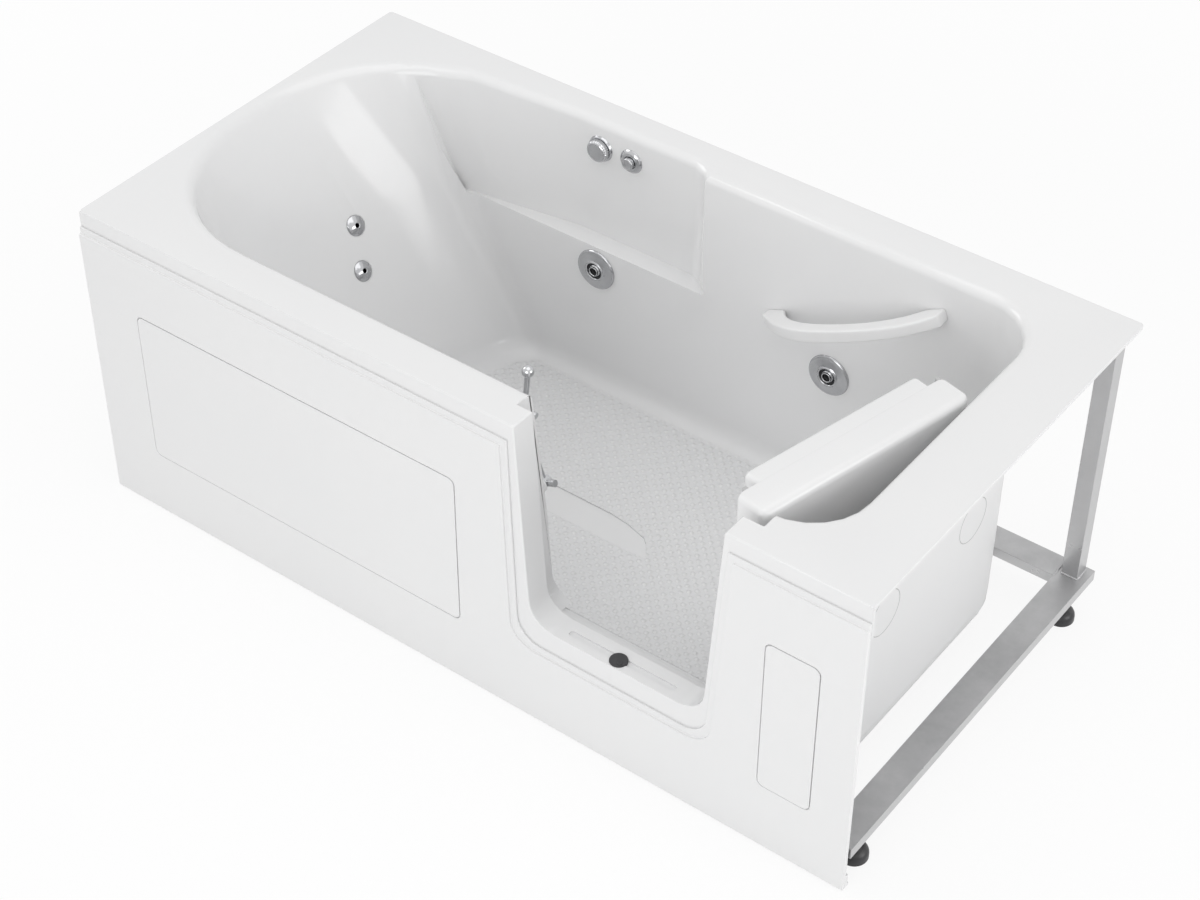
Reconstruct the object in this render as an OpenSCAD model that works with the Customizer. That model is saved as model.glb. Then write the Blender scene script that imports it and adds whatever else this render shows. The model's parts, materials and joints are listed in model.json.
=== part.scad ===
// Walk-in jetted bathtub: a laminated soaking basin with an inward door in its front wall.
// Origin on the floor under the middle of the tub, X towards the door end, Y towards the wall.

/* [Overall] */
// Length of the tub along the wall
tub_length = 1524; // [1480:4:1600]
// Width from the front of the apron to the wall
tub_width = 787.4; // [770:0.2:820]
// Height of the deck above the floor
deck_height = 592; // [570:1:620]
// Thickness of the laminated shell walls
shell_wall = 7; // [5:0.5:8]
// Thickness of the deck
deck_thickness = 6; // [5:0.5:8]

/* [Basin] */
// Height of the basin floor above the ground
basin_floor = 64; // [58:1:74]
// Thickness of the boarded basin floor
floor_build = 42; // [30:1:50]
// Deck width in front of the basin
front_rim = 89; // [88:0.5:92]
// Deck width behind the basin
back_rim = 82; // [78:1:90]
// Deck width at the foot end
foot_rim = 124; // [116:1:140]
// Deck width at the head end
head_rim = 20; // [18:1:30]
// Slope of the backrest from upright, in degrees
backrest_angle = 31; // [26:0.5:33]
// Inset of the long walls between the rim and the arm ledge
side_inset = 14; // [8:1:18]
// Radius of the rolled rim edge
rim_fillet = 16; // [8:1:18]
// Radius between the basin floor and its walls
floor_fillet = 34; // [20:1:45]
// Radius of the upright corners at the foot end
foot_corner = 100; // [80:1:120]
// Length of the head curve at the rim
head_curve = 277; // [240:1:300]
// Length of the head curve at the ledge
low_head_curve = 120; // [100:1:150]

/* [Arm ledge] */
// Height of the arm ledge above the ground
ledge_height = 357; // [350:1:375]
// Depth of the recess above the ledge
ledge_depth = 37; // [30:1:42]
// Length of the recess from its step to its tip
ledge_length = 480; // [440:1:500]
// Distance from the foot end to the step at the end of the recess
ledge_from_end = 807; // [790:1:822]

/* [Door] */
// Clear width of the door opening at deck height
door_opening = 376; // [360:1:384]
// Distance from the foot end to the middle of the door opening
door_from_end = 435; // [428:1:442]
// Height of the outer sill above the ground
sill_height = 205; // [195:1:215]
// Drop from the outer sill to the inner sill
sill_drop = 25; // [20:1:30]
// Gap round the door flange
door_gap = 6; // [5:0.5:8]
// Thickness of the door flange
flange_thickness = 57; // [52:1:60]
// Thickness of the whole door
door_thickness = 89; // [86:0.5:92]
// How far the door stands open at rest, in degrees
door_open_angle = 103.5; // [95:0.5:104]
// Diameter of the door pivot pins
pivot_pin_d = 8; // [6:0.5:9]

/* [Apron] */
// Thickness of the apron sheet
apron_sheet = 4; // [3:0.5:5]
// Length of the large access panel
panel_length = 673; // [620:1:690]
// Height of the large access panel
panel_height = 297; // [270:1:310]
// Length of the small access panel
small_panel_length = 92; // [80:1:96]
// Groove round the access panels
panel_groove = 1.5; // [1:0.25:2.5]

/* [Latches] */
// Length of the latch rods from hub to ball
latch_rod = 80; // [70:1:90]
// Diameter of the latch balls
latch_ball_d = 20; // [16:1:24]
// Lean of the upper latch rod, in degrees
upper_lean = 6; // [0:1:10]
// Lean of the lower latch rod, in degrees
lower_lean = -21; // [-25:1:0]

/* [Jets and controls] */
// Diameter of the large jet faceplates
jet_face_d = 79; // [70:1:86]
// Diameter of the small jet caps
back_jet_d = 38; // [32:1:44]
// Diameter of the air control
air_control_d = 50; // [44:1:54]
// Diameter of the push button surround
button_ring_d = 46; // [40:1:50]
// Travel of the push button
button_travel = 4; // [3:0.5:5]

/* [Grab bar] */
// Rise of the grab bar from its left end to its right end
bar_rise = 150; // [130:1:160]
// Distance between the ends of the grab bar along the tub
bar_span = 329; // [310:1:340]
// How far the grab bar bows out from the wall
bar_bow = 50; // [42:1:60]

/* [Frame and feet] */
// Height of the top of the base frame
frame_top = 80; // [74:1:84]
// Height of the base tubes
rail_height = 20; // [18:1:24]
// Width of the base tubes
rail_width = 51; // [46:1:54]
// Wall of the base tubes and posts
tube_wall = 2.5; // [2:0.25:3.5]
// Side of the square posts
post_side = 30; // [25:1:34]
// Diameter of the levelling feet
foot_d = 48; // [42:1:56]
// Diameter of the foot screws
foot_screw_d = 12; // [10:1:14]

/* [Hidden] */
over = 1;
fit = 0.3;
running_fit = 0.1;
fine = 48;
round_fn = 32;

// Outline of the whole tub
half_length = tub_length / 2;
half_width = tub_width / 2;
deck_corner = 8;

// Doorway, recess step and fittings that keep their distance from the foot end
door_centre_x = half_length - door_from_end;
ledge_step_x = half_length - ledge_from_end;

// Basin walls, each at the rim, without the rolled edge
foot_x = half_length - foot_rim;
head_x = -half_length + head_rim;
back_y = half_width - back_rim;
front_y = -half_width + front_rim;
low_back_y = back_y - side_inset;
low_front_y = front_y + side_inset;
mid_y = (back_y + front_y) / 2;
floor_head_curve = 90;
head_power = 2.2;
foot_steps = 6;
head_steps = 15;
fillet_steps = 5;
outer_bottom = basin_floor - floor_build;
outer_fillet = 40;

// Door opening: the narrow part in front, the wide part behind it
jamb_slope_share = 0.066;
opening_left = door_centre_x - door_opening / 2;
opening_right = door_centre_x + door_opening / 2;
opening_corner = 46;
hinge_corner = 12;
jamb_step = 29;
wide_left = opening_left - jamb_step;
hinge_side_step = 36;
wide_right = opening_right + hinge_side_step;
inner_sill = sill_height - sill_drop;
step_depth = 54.7;
step_y = -half_width + step_depth;
sill_round = 28;
trough_length = 202;
trough_width = 12;
trough_depth = 3;
trough_setback = 26;
trough_x = door_centre_x;
trough_y = step_y - trough_setback;

// Apron layers, from the front plane back
apron_front = -half_width;
bead_y = apron_front + apron_sheet;
band_y = bead_y + apron_sheet;
band_thickness = deck_thickness;
band_back = band_y + band_thickness;
bead_top = 30;
sheet_top = 42;
band_lap = 18;
frame_margin = 24;
frame_margin_low = 53;
bead_step = 12;
apron_foot_gap = 3;
hem_height = 26;
hem_depth = 12;
panel_corner = 12;
panel_bottom = 135;
panel_inset = 114;
small_panel_inset = 162;
panel_left = -half_length + panel_inset;
small_panel_left = half_length - small_panel_inset;
panel_lip = 14;
peg_d = 8;
peg_length = 9;
peg_inset = 7;

// Door leaf, seen closed
hinge_inset = 29.4;
hinge_reach = 8;
hinge_x = wide_right - hinge_inset;
hinge_y = front_y + hinge_reach;
flange_inner = 21.5;
hinge_lap = 20.4;
tip_gap = 6;
flange_tip_x = wide_left + door_gap + tip_gap;
seal_lift = 3;
flange_bottom = inner_sill + seal_lift;
body_gap = 13;
body_lift = 10;
body_bottom = sill_height + body_lift;
door_drop = 2;
door_top = deck_height - door_drop;
door_corner = 48;
edge_round = 12;
body_round = 6;
seal_width = 8;
seal_margin = 3;
notch_height = 40;
notch_reach = 16;
lug_r = 7;
lug_plate = 3;
lug_plate_height = 60;
lug_plate_width = 40;
pin_reach = 26;
lower_hinge_rise = 80;
upper_hinge_drop = 92;
lower_hinge_z = inner_sill + lower_hinge_rise;
upper_hinge_z = deck_height - upper_hinge_drop;

// Latches on the front wall beside the door
latch_reach = 40.5;
latch_y = front_y + latch_reach;
latch_bar_d = 12;
latch_bar_length = 45;
latch_rod_d = 9;
latch_hub_d = 19;
latch_hub_length = 15;
latch_pin_d = 8;
latch_boss_d = 24;
latch_lock_ring = 3;
latch_nut_d = 20;
latch_nut_length = 5;
upper_latch_inset = 76;
upper_latch_drop = 86;
lower_latch_inset = 39;
lower_latch_drop = 214;
upper_latch = [opening_left - upper_latch_inset, deck_height - upper_latch_drop];
lower_latch = [opening_left - lower_latch_inset, deck_height - lower_latch_drop];

// Jets in the back wall and in the backrest
jet_drop = 47;
jet_height = ledge_height - jet_drop;
left_jet_offset = 177;
right_jet_offset = 495;
jet_x = [ledge_step_x - left_jet_offset, half_length - right_jet_offset];
jet_edge = 3;
jet_crown = 8;
jet_collar_r = 17.5;
jet_mouth_r = 15;
jet_ball_r = 13;
jet_bore_r = 7;
jet_body_r = 25;
jet_body_length = 46;
jet_nut_r = 33;
jet_nut_length = 8;
water_pipe_d = 26;
upper_back_jet_y = 89;
lower_back_jet_y = 60;
upper_back_jet_rise = 3;
lower_back_jet_drop = 63;
back_jets = [[upper_back_jet_y, ledge_height + upper_back_jet_rise],
    [lower_back_jet_y, ledge_height - lower_back_jet_drop]];
back_jet_crown = 7;
back_jet_hole_r = 4;
back_jet_body_r = 11;
back_jet_body_length = 44;
back_jet_nut_r = 17;
spot_depth = 1;

// Controls on the recessed wall
control_drop = 54;
control_z = deck_height - control_drop;
air_control_offset = 196;
button_offset = 131;
air_control_x = ledge_step_x - air_control_offset;
button_x = ledge_step_x - button_offset;
control_base = 4;
knob_margin = 4;
knob_d = air_control_d - 2 * knob_margin;
knob_height = 13;
control_stem_r = 8;
control_stem_length = 34;
control_nut_r = 15;
control_nut_length = 6;
button_d = 22;
button_height = 8;
button_ring_height = 6;

// Grab bar
bar_from_end = 622;
bar_drop = 215;
bar_left_x = half_length - bar_from_end;
bar_left_z = deck_height - bar_drop;
bar_depth = 26;
bar_height = 22;
bar_chamfer = 3;
bar_stud_d = 10;
bar_stud_length = 24;
bar_stud_grip = 12;
bar_stud_share = 0.055;
bar_nut_d = 22;

// Pump place: beside the backrest, above the frame
volute_d = 146;
volute_length = 46;
pump_rise = 88;
pump_gap = 9;
pump_z = frame_top + pump_rise;
pump_x = wall_head(pump_z + volute_d / 2) - shell_wall - volute_d / 2 - pump_gap;

// Drain, its tray in the floor, the suction fitting and the sill plug
drain_from_head = 562;
drain_x = -half_length + drain_from_head;
drain_y = -12;
drain_d = 70;
drain_tail_d = 38;
drain_thread_d = 44;
drain_tail_length = 12;
drain_wall = 3;
drain_lip = 3;
drain_tail_bottom = 8;
stopper_d = 44;
stopper_height = 6;
tray_depth = 3;
tray_width = 60;
tray_length = 337;
suction_gap = 157;
suction_z = pump_z;
suction_x = wall_head(suction_z) + suction_gap;
suction_d = 88;
suction_crown = 12;
suction_body_r = 24;
suction_body_length = 22;
suction_slots = 12;
plug_d = 30;
plug_height = 5;
plug_stem_d = 14;
plug_nub_d = 8;
plug_nub_height = 1.5;
plug_nub_offset = 6;
plug_offset = 4;
plug_setback = 29.5;
plug_x = door_centre_x - plug_offset;
plug_y = step_y - plug_setback;

// Flush discs in the foot end wall
disc_d = 80;
disc_thickness = 3;
disc_y = 129;
disc_drop = 281;
disc_z = deck_height - disc_drop;

// Base frame, posts and feet
frame_margin_y = 17;
frame_margin_x = 1;
rail_bottom = frame_top - rail_height;
post_margin = 15;
post_back_inset = 7;
front_post_inset = 35;
foot_inset = 72;
foot_x_inset = 26;
foot_pad_height = 8;
foot_dome_height = 14;
foot_neck_d = 22;
foot_bore_top = frame_top - tube_wall;
foot_screw_top = foot_bore_top - over;
nut_height = 8;
nut_d = 20;
insert_d = 18;

// Pump and its shelf under the backrest
shelf_thickness = 12;
shelf_width = 170;
shelf_reach = half_width - frame_margin_y - post_back_inset - post_side - 2 * over;
shelf_offset = 76;
shelf_x = pump_x - shelf_offset;
motor_d = 124;
motor_length = 190;
motor_y = -20;
port_d = 48;
port_length = 24;
pipe_bend = 30;
riser_collar = 10;
hose_d = 16;
elbow_swell = 4;
hose_stub_length = 22;
air_tube_d = 10;
air_stub_length = 24;
air_tube_y = low_back_y + ledge_depth + control_stem_length + fit + (air_tube_d + elbow_swell) / 2;
pump_foot_width = 110;
pump_foot_length = 130;
pump_foot_thickness = 6;
terminal_length = 62;
terminal_width = 70;
terminal_height = 32;
motor_fins = 9;
fin_gap = 5;
fin_depth = 5;

// Basin section: place of each wall at a height
function mix(a, b, t) = a + (b - a) * t;
function ledge_part(z) = max(0, min(1, (deck_height - z) / (deck_height - ledge_height)));
function wall_back(z) = back_y - side_inset * ledge_part(z);
function wall_front(z) = front_y + side_inset * ledge_part(z);
function wall_head(z) = head_x + (deck_height - z) * tan(backrest_angle);
function curve_length(z) = z > ledge_height
    ? mix(head_curve, low_head_curve, ledge_part(z))
    : mix(floor_head_curve, low_head_curve, (z - outer_bottom) / (ledge_height - outer_bottom));

// One level of the basin, with every wall moved out by grow
function arc_points(cx, cy, r, a0, a1, n) =
    [for (i = [0:n]) let (a = mix(a0, a1, i / n)) [cx + r * cos(a), cy + r * sin(a)]];
function head_points(z, grow) =
    let (length = curve_length(z) + grow, half = (wall_back(z) - wall_front(z)) / 2 + grow,
        cx = wall_head(z) + curve_length(z), n = 2 * head_steps)
    [for (i = [0:n]) let (a = mix(90, 270, i / n), c = cos(a), s = sin(a))
        [cx - length * pow(abs(c), 2 / head_power), mid_y + half * sign(s) * pow(abs(s), 2 / head_power)]];
function level(z, grow) = let (r = foot_corner + grow, x = foot_x - foot_corner)
    [for (p = concat(arc_points(x, wall_front(z) + foot_corner, r, -90, 0, foot_steps),
        arc_points(x, wall_back(z) - foot_corner, r, 0, 90, foot_steps), head_points(z, grow)))
        [p.x, p.y, z]];

// A closed solid through levels that hold as many points each, lowest first
module loft(levels) {
    n = len(levels[0]);
    m = len(levels);
    polyhedron(
        points = [for (l = levels) each l],
        faces = concat([[for (j = [0:n - 1]) j]], [[for (j = [n - 1:-1:0]) (m - 1) * n + j]],
            [for (i = [0:m - 2], j = [0:n - 1]) let (a = i * n + j, b = i * n + (j + 1) % n)
                each [[a, a + n, b + n], [a, b + n, b]]]));
}

function bottom_fillet(z, r, grow) = [for (i = [fillet_steps:-1:0]) let (a = 90 * i / fillet_steps)
    [z + r * (1 - sin(a)), grow - r * (1 - cos(a))]];
function rim_flare(grow) = [for (i = [fillet_steps:-1:0]) let (a = 90 * i / fillet_steps)
    [deck_height - rim_fillet * (1 - cos(a)), grow + rim_fillet * (1 - sin(a))]];

module basin_inside() {
    steps = concat(bottom_fillet(basin_floor, floor_fillet, 0), [[ledge_height, 0]], rim_flare(0),
        [[deck_height + over, rim_fillet]]);
    loft([for (s = steps) level(s[0], s[1])]);
}

module basin_outside() {
    steps = concat(bottom_fillet(outer_bottom, outer_fillet, shell_wall),
        [[ledge_height, shell_wall], [deck_height - deck_thickness / 2, shell_wall]]);
    loft([for (s = steps) level(s[0], s[1])]);
}

// Arm recess: its outline narrows to nothing towards the head end
recess_shares = [1, 0.74, 0.5, 0];
recess_rim_shares = [1.18, 0.98, 0.5, 0];
recess_depth_shares = [0, 0.5, 1, 1];
recess_rim_depth_shares = [-0.7, 0.6, 1, 1];
step_run = 50;
function recess_level(z, grow) = let (t = 1 - ledge_part(z), inside = low_back_y - shell_wall)
    [for (p = concat(
        [[ledge_step_x + step_run + grow, inside], [ledge_step_x + step_run + grow, low_back_y],
            [ledge_step_x + step_run / 2 + grow, low_back_y + ledge_depth * 3 / 4 + grow]],
        [for (i = [3:-1:0]) let (s = mix(recess_shares[i], recess_rim_shares[i], t),
            d = mix(recess_depth_shares[i], recess_rim_depth_shares[i], t))
            [ledge_step_x - ledge_length * s - grow * s, low_back_y + ledge_depth * d + grow]],
        [[ledge_step_x - ledge_length * mix(recess_shares[0], recess_rim_shares[0], t) - grow, inside
            - ledge_depth * t]]))
        [p.x, p.y, z]];

module recess_inside() {
    steps = concat([[ledge_height, 0]], rim_flare(0), [[deck_height + over, rim_fillet]]);
    loft([for (s = steps) recess_level(s[0], s[1])]);
}

module recess_outside()
    loft([for (z = [ledge_height - shell_wall, deck_height - deck_thickness / 2])
        recess_level(z, shell_wall)]);

// Door outlines in the X-Z plane: slanted sides, rounded lower corners
function side_x(x, slope, z) = x + slope * (deck_height - z);
function gate(left, right, bottom, r, right_r, left_slope, right_slope, top) =
    let (kl = sqrt(1 + left_slope * left_slope), kr = sqrt(1 + right_slope * right_slope),
        cl = side_x(left, left_slope, bottom + r) + r * kl,
        cr = side_x(right, -right_slope, bottom + right_r) - right_r * kr, n = fillet_steps + 1)
    concat([[side_x(left, left_slope, top), top]],
        arc_points(cl, bottom + r, r, 180 + atan(left_slope), 270, n),
        arc_points(cr, bottom + right_r, right_r, 270, 360 - atan(right_slope), n),
        [[side_x(right, -right_slope, top), top]]);
function narrow_gate(grow, top) = gate(opening_left - grow, opening_right + grow,
    sill_height - grow, opening_corner + grow, opening_corner + grow, jamb_slope_share,
    jamb_slope_share, top);
function wide_gate(grow, top) = gate(wide_left - grow, wide_right + grow,
    inner_sill - grow, opening_corner + grow, hinge_corner + grow, jamb_slope_share, 0, top);
function frame_gate(inset, top) = gate(opening_left - frame_margin + inset,
    opening_right + frame_margin - inset, sill_height - frame_margin_low + inset,
    opening_corner, opening_corner, jamb_slope_share / 2, jamb_slope_share, top);

// A plate in the X-Z plane between two Y planes
module upright(front, back)
    translate([0, back, 0]) rotate([90, 0, 0]) linear_extrude(back - front) children();

module rounded_outline(x, y, w, h, r) {
    polygon(concat(arc_points(x + w - r, y + r, r, -90, 0, fillet_steps),
        arc_points(x + w - r, y + h - r, r, 0, 90, fillet_steps),
        arc_points(x + r, y + h - r, r, 90, 180, fillet_steps),
        arc_points(x + r, y + r, r, 180, 270, fillet_steps)));
}

module gate_frame() {
    upright(step_y - shell_wall, low_front_y - shell_wall / 2) polygon(wide_gate(shell_wall,
        deck_height - deck_thickness / 2));
    upright(band_y, step_y) polygon(narrow_gate(shell_wall, deck_height - deck_thickness / 2));
    translate([wide_left + opening_corner, low_front_y - sill_round - shell_wall / 2,
        inner_sill - sill_round]) rotate([0, 90, 0])
            cylinder(h = wide_right - wide_left - 2 * opening_corner, r = sill_round, $fn = fine);
    upright(band_y, band_back) {
        translate([-half_length, deck_height - sheet_top - band_lap])
            square([tub_length, sheet_top + band_lap - deck_thickness / 2]);
        polygon(frame_gate(-band_lap, deck_height - deck_thickness / 2));
    }
}

module gate_cuts() {
    upright(step_y, low_front_y + over) polygon(wide_gate(0, deck_height + over));
    upright(band_y - over, step_y + over) polygon(narrow_gate(0, deck_height + over));
    translate([wide_left + opening_corner, low_front_y - sill_round, inner_sill - sill_round])
        difference() {
            cube([wide_right - wide_left - 2 * opening_corner, sill_round + over, sill_round + over]);
            translate([-over, 0, 0]) rotate([0, 90, 0])
                cylinder(h = wide_right - wide_left, r = sill_round, $fn = fine);
        }
    translate([trough_x - trough_length / 2, trough_y - trough_width / 2, sill_height - trough_depth])
        linear_extrude(trough_depth + over)
            rounded_outline(0, 0, trough_length, trough_width, trough_width / 2 - over);
    translate([plug_x, plug_y, sill_height - trough_depth])
        cylinder(h = trough_depth + over, r = plug_d / 2 + fit, $fn = fine);
}

// Backrest surface, found on the same curve as the basin levels
function backrest_x(y, z) = let (half = (wall_back(z) - wall_front(z)) / 2)
    wall_head(z) + curve_length(z)
        * (1 - pow(1 - pow(abs(y - mid_y) / half, head_power), 1 / head_power));
function backrest_tilt(y, z) = atan((backrest_x(y, z) - backrest_x(y, z + over)) / over);
function backrest_turn(y, z) = -atan((backrest_x(y + over, z) - backrest_x(y - over, z)) / (2 * over));

// Frames of the fittings, each with its axis pointing into the basin
module at_jet(side) translate([jet_x[side], low_back_y, jet_height]) rotate([90, 0, 0]) children();
module at_back_jet(i) let (y = back_jets[i][0], z = back_jets[i][1])
    translate([backrest_x(y, z), y, z])
        rotate([0, 0, backrest_turn(y, z)]) rotate([0, 90 - backrest_tilt(y, z), 0]) children();
module at_control(x) translate([x, low_back_y + ledge_depth, control_z]) rotate([90, 0, 0]) children();
module at_suction() translate([suction_x, low_front_y, suction_z]) rotate([-90, 0, 0]) children();
module at_latch(place) translate([place[0], 0, place[1]]) children();
module at_bar_stud(side) let (t = side == 0 ? bar_stud_share : 1 - bar_stud_share,
        z = bar_left_z + bar_rise * t)
    translate([bar_left_x + bar_span * t, wall_back(z), z]) rotate([90, 0, 0]) children();
module at_disc(side) translate([foot_x + shell_wall, side * disc_y, disc_z]) rotate([0, 90, 0]) children();

module bore(r, depth) translate([0, 0, -depth]) cylinder(h = depth + over, r = r, $fn = round_fn);

module shell_holes() {
    for (side = [0, 1]) {
        at_jet(side) bore(jet_body_r + fit, 2 * shell_wall);
        at_bar_stud(side) bore(bar_stud_d / 2 + fit, 3 * shell_wall);
        at_back_jet(side) {
            bore(back_jet_body_r + fit, 3 * shell_wall);
            translate([0, 0, over]) bore(back_jet_d / 2 + over, spot_depth + over);
        }
    }
    at_control(air_control_x) bore(control_stem_r + fit, 2 * shell_wall);
    at_control(button_x) bore(control_stem_r + fit, 2 * shell_wall);
    at_suction() bore(suction_body_r + fit, 2 * shell_wall);
    for (place = [upper_latch, lower_latch]) at_latch(place)
        translate([0, wall_front(place[1]) + over, 0]) rotate([90, 0, 0])
            cylinder(h = 2 * shell_wall + over, r = latch_pin_d / 2 + fit, $fn = round_fn);
    translate([drain_x, drain_y, outer_bottom - over]) {
        cylinder(h = floor_build, r = drain_thread_d / 2 + fit, $fn = fine);
        translate([0, 0, floor_build + over - tray_depth - drain_lip])
            cylinder(h = tray_depth + drain_lip + over, r = drain_d / 2 + fit, $fn = fine);
    }
    translate([plug_x, plug_y, sill_height - 2 * shell_wall])
        cylinder(h = 2 * shell_wall, r = plug_stem_d / 2 + fit, $fn = round_fn);
    for (side = [-1, 1]) at_disc(side) translate([0, 0, -disc_thickness])
        cylinder(h = disc_thickness + over, r = disc_d / 2 + fit, $fn = fine);
}

// Smooth tray in the floor that leads the water to the drain
tray_shares = [[0.84, -0.5], [1, -0.45], [0.93, 0.08], [0.9, 0.23], [0.77, 0.43], [0.66, 0.5]];
module drain_tray() {
    translate([drain_x, drain_y, basin_floor - tray_depth]) linear_extrude(tray_depth + over) {
        polygon(concat([[0, -tray_width / 2]],
            [for (p = tray_shares) [tray_length * p[0], tray_width * p[1]]],
            [[0, tray_width / 2]]));
        circle(r = drain_d / 2 + over, $fn = fine);
    }
}

module tub_shell() {
    color("white") difference() {
        union() {
            translate([-half_length, 0, deck_height - deck_thickness]) linear_extrude(deck_thickness)
                rounded_outline(0, band_y, tub_length, half_width - band_y, deck_corner);
            basin_outside();
            recess_outside();
            gate_frame();
        }
        basin_inside();
        recess_inside();
        gate_cuts();
        drain_tray();
        shell_holes();
    }
}

// Apron: a sheet with a backing band round its edges and openings, and a folded hem
module panel_openings(grow) {
    rounded_outline(panel_left - grow, panel_bottom - grow, panel_length + 2 * grow,
        panel_height + 2 * grow, panel_corner);
    rounded_outline(small_panel_left - grow, panel_bottom - grow, small_panel_length + 2 * grow,
        panel_height + 2 * grow, panel_corner);
}

module peg_places() {
    for (p = [[panel_left, panel_length], [small_panel_left, small_panel_length]],
        x = [peg_inset, p[1] - peg_inset], z = [peg_inset, panel_height - peg_inset])
        translate([p[0] + x, panel_bottom + z]) children();
}

module front_apron() {
    color("white") difference() {
        union() {
            upright(apron_front, bead_y) difference() {
                translate([-half_length, apron_foot_gap])
                    square([tub_length, deck_height - sheet_top - apron_foot_gap]);
                polygon(frame_gate(0, deck_height));
                panel_openings(panel_groove);
            }
            upright(bead_y, band_y) difference() {
                translate([-half_length, apron_foot_gap])
                    square([tub_length, deck_height - bead_top - apron_foot_gap]);
                polygon(frame_gate(bead_step, deck_height));
                panel_openings(-panel_lip);
            }
            translate([-half_length, band_y, apron_foot_gap])
                cube([tub_length, hem_depth - 2 * apron_sheet + band_thickness, apron_sheet]);
            for (x = [-half_length, half_length - apron_sheet]) translate([x, band_y, apron_foot_gap])
                cube([apron_sheet, band_thickness, hem_height]);
        }
        upright(bead_y - over, band_y + over) peg_places() circle(d = peg_d + 2 * running_fit, $fn = fine);
    }
}

module access_panel(left, length) {
    color("white") {
        upright(apron_front, bead_y)
            rounded_outline(left, panel_bottom, length, panel_height, panel_corner);
        for (x = [peg_inset, length - peg_inset], z = [peg_inset, panel_height - peg_inset])
            translate([left + x, bead_y + peg_length, panel_bottom + z]) rotate([90, 0, 0])
                cylinder(h = peg_length + apron_sheet / 2, d = peg_d, $fn = fine);
    }
}
module access_panel_large() access_panel(panel_left, panel_length);
module access_panel_small() access_panel(small_panel_left, small_panel_length);

// The door is drawn closed and turned open about its pivot
module open_door() translate([hinge_x, hinge_y, 0]) rotate([0, 0, -door_open_angle])
    translate([-hinge_x, -hinge_y, 0]) children();
module at_hinges() for (z = [lower_hinge_z, upper_hinge_z]) translate([hinge_x, hinge_y, z]) children();

function flange_outline(grow) = gate(flange_tip_x - grow, hinge_x + hinge_lap + grow,
    flange_bottom - grow, door_corner + grow, door_corner + grow, jamb_slope_share, 0,
    door_top + grow);
function body_outline(grow) = gate(opening_left + body_gap - grow, opening_right - body_gap + grow,
    body_bottom - grow, door_corner + grow, door_corner + grow, jamb_slope_share,
    jamb_slope_share, door_top + grow);

// Rounded edge of a door layer: steps of distance from its face and inset of its outline
function edge_steps(r) = [for (i = [0:3]) let (a = 30 * i) [r * (1 - sin(a)), -r * (1 - cos(a))]];
function plane(points, y) = [for (p = points) [p[0], y, p[1]]];

module door_panel() {
    inner = hinge_y + flange_inner;
    split = inner - flange_thickness;
    outer = inner - door_thickness;
    color("white") open_door() difference() {
        union() {
            loft(concat([for (i = [3:-1:0]) let (s = edge_steps(edge_round)[i])
                plane(flange_outline(s[1]), inner - s[0])], [plane(flange_outline(0), split)]));
            loft(concat([plane(body_outline(0), split + over)],
                [for (s = edge_steps(body_round)) plane(body_outline(s[1]), outer + s[0])]));
        }
        at_hinges() {
            translate([-notch_reach, flange_inner - flange_thickness - over, -notch_height / 2])
                cube([notch_reach + hinge_lap + over, flange_thickness + 2 * over, notch_height]);
            translate([0, 0, -notch_height / 2 - pin_reach - fit])
                cylinder(h = notch_height + 2 * pin_reach + 2 * fit, d = pivot_pin_d + 2 * running_fit,
                    $fn = fine);
        }
    }
}

module door_seal() {
    color("dimgray") open_door() difference() {
        upright(step_y + 2 * fit, hinge_y + flange_inner - flange_thickness)
            polygon(narrow_gate(seal_margin + seal_width, door_top));
        upright(step_y + 2 * fit - over, hinge_y + flange_inner - flange_thickness + over)
            polygon(narrow_gate(seal_margin, door_top + over));
    }
}

module hinge_lug(z) {
    color("silver") translate([hinge_x, hinge_y, z]) difference() {
        translate([0, 0, -notch_height / 2 + fit]) union() {
            cylinder(h = notch_height - 2 * fit, r = lug_r, $fn = fine);
            translate([0, -lug_r, 0])
                cube([wide_right - hinge_x, 2 * lug_r, notch_height - 2 * fit]);
            translate([wide_right - hinge_x - lug_plate, -lug_plate_width + lug_r,
                (notch_height - lug_plate_height) / 2 - fit])
                cube([lug_plate, lug_plate_width, lug_plate_height]);
        }
        translate([0, 0, -notch_height]) cylinder(h = 2 * notch_height, d = pivot_pin_d + running_fit,
            $fn = fine);
    }
}
module hinge_lug_upper() hinge_lug(upper_hinge_z);
module hinge_lug_lower() hinge_lug(lower_hinge_z);

module hinge_pins() {
    color("silver") at_hinges() translate([0, 0, -notch_height / 2 - pin_reach])
        cylinder(h = notch_height + 2 * pin_reach, d = pivot_pin_d, $fn = fine);
}

// Latches: a pin in a boss on the wall carries a cross bar with a rod and ball
module latch_boss(place) {
    wall = wall_front(place[1] + latch_boss_d / 2);
    front = latch_y - latch_hub_length / 2 - fit;
    color("white") at_latch(place) difference() {
        translate([0, front, 0]) rotate([90, 0, 0])
            cylinder(h = front - wall_front(place[1] - latch_boss_d / 2) - fit, d = latch_boss_d,
                $fn = fine);
        translate([0, front + over, 0]) rotate([90, 0, 0])
            cylinder(h = front - wall + 2 * over, d = latch_pin_d + running_fit, $fn = fine);
    }
}
module latch_boss_upper() latch_boss(upper_latch);
module latch_boss_lower() latch_boss(lower_latch);

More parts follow.
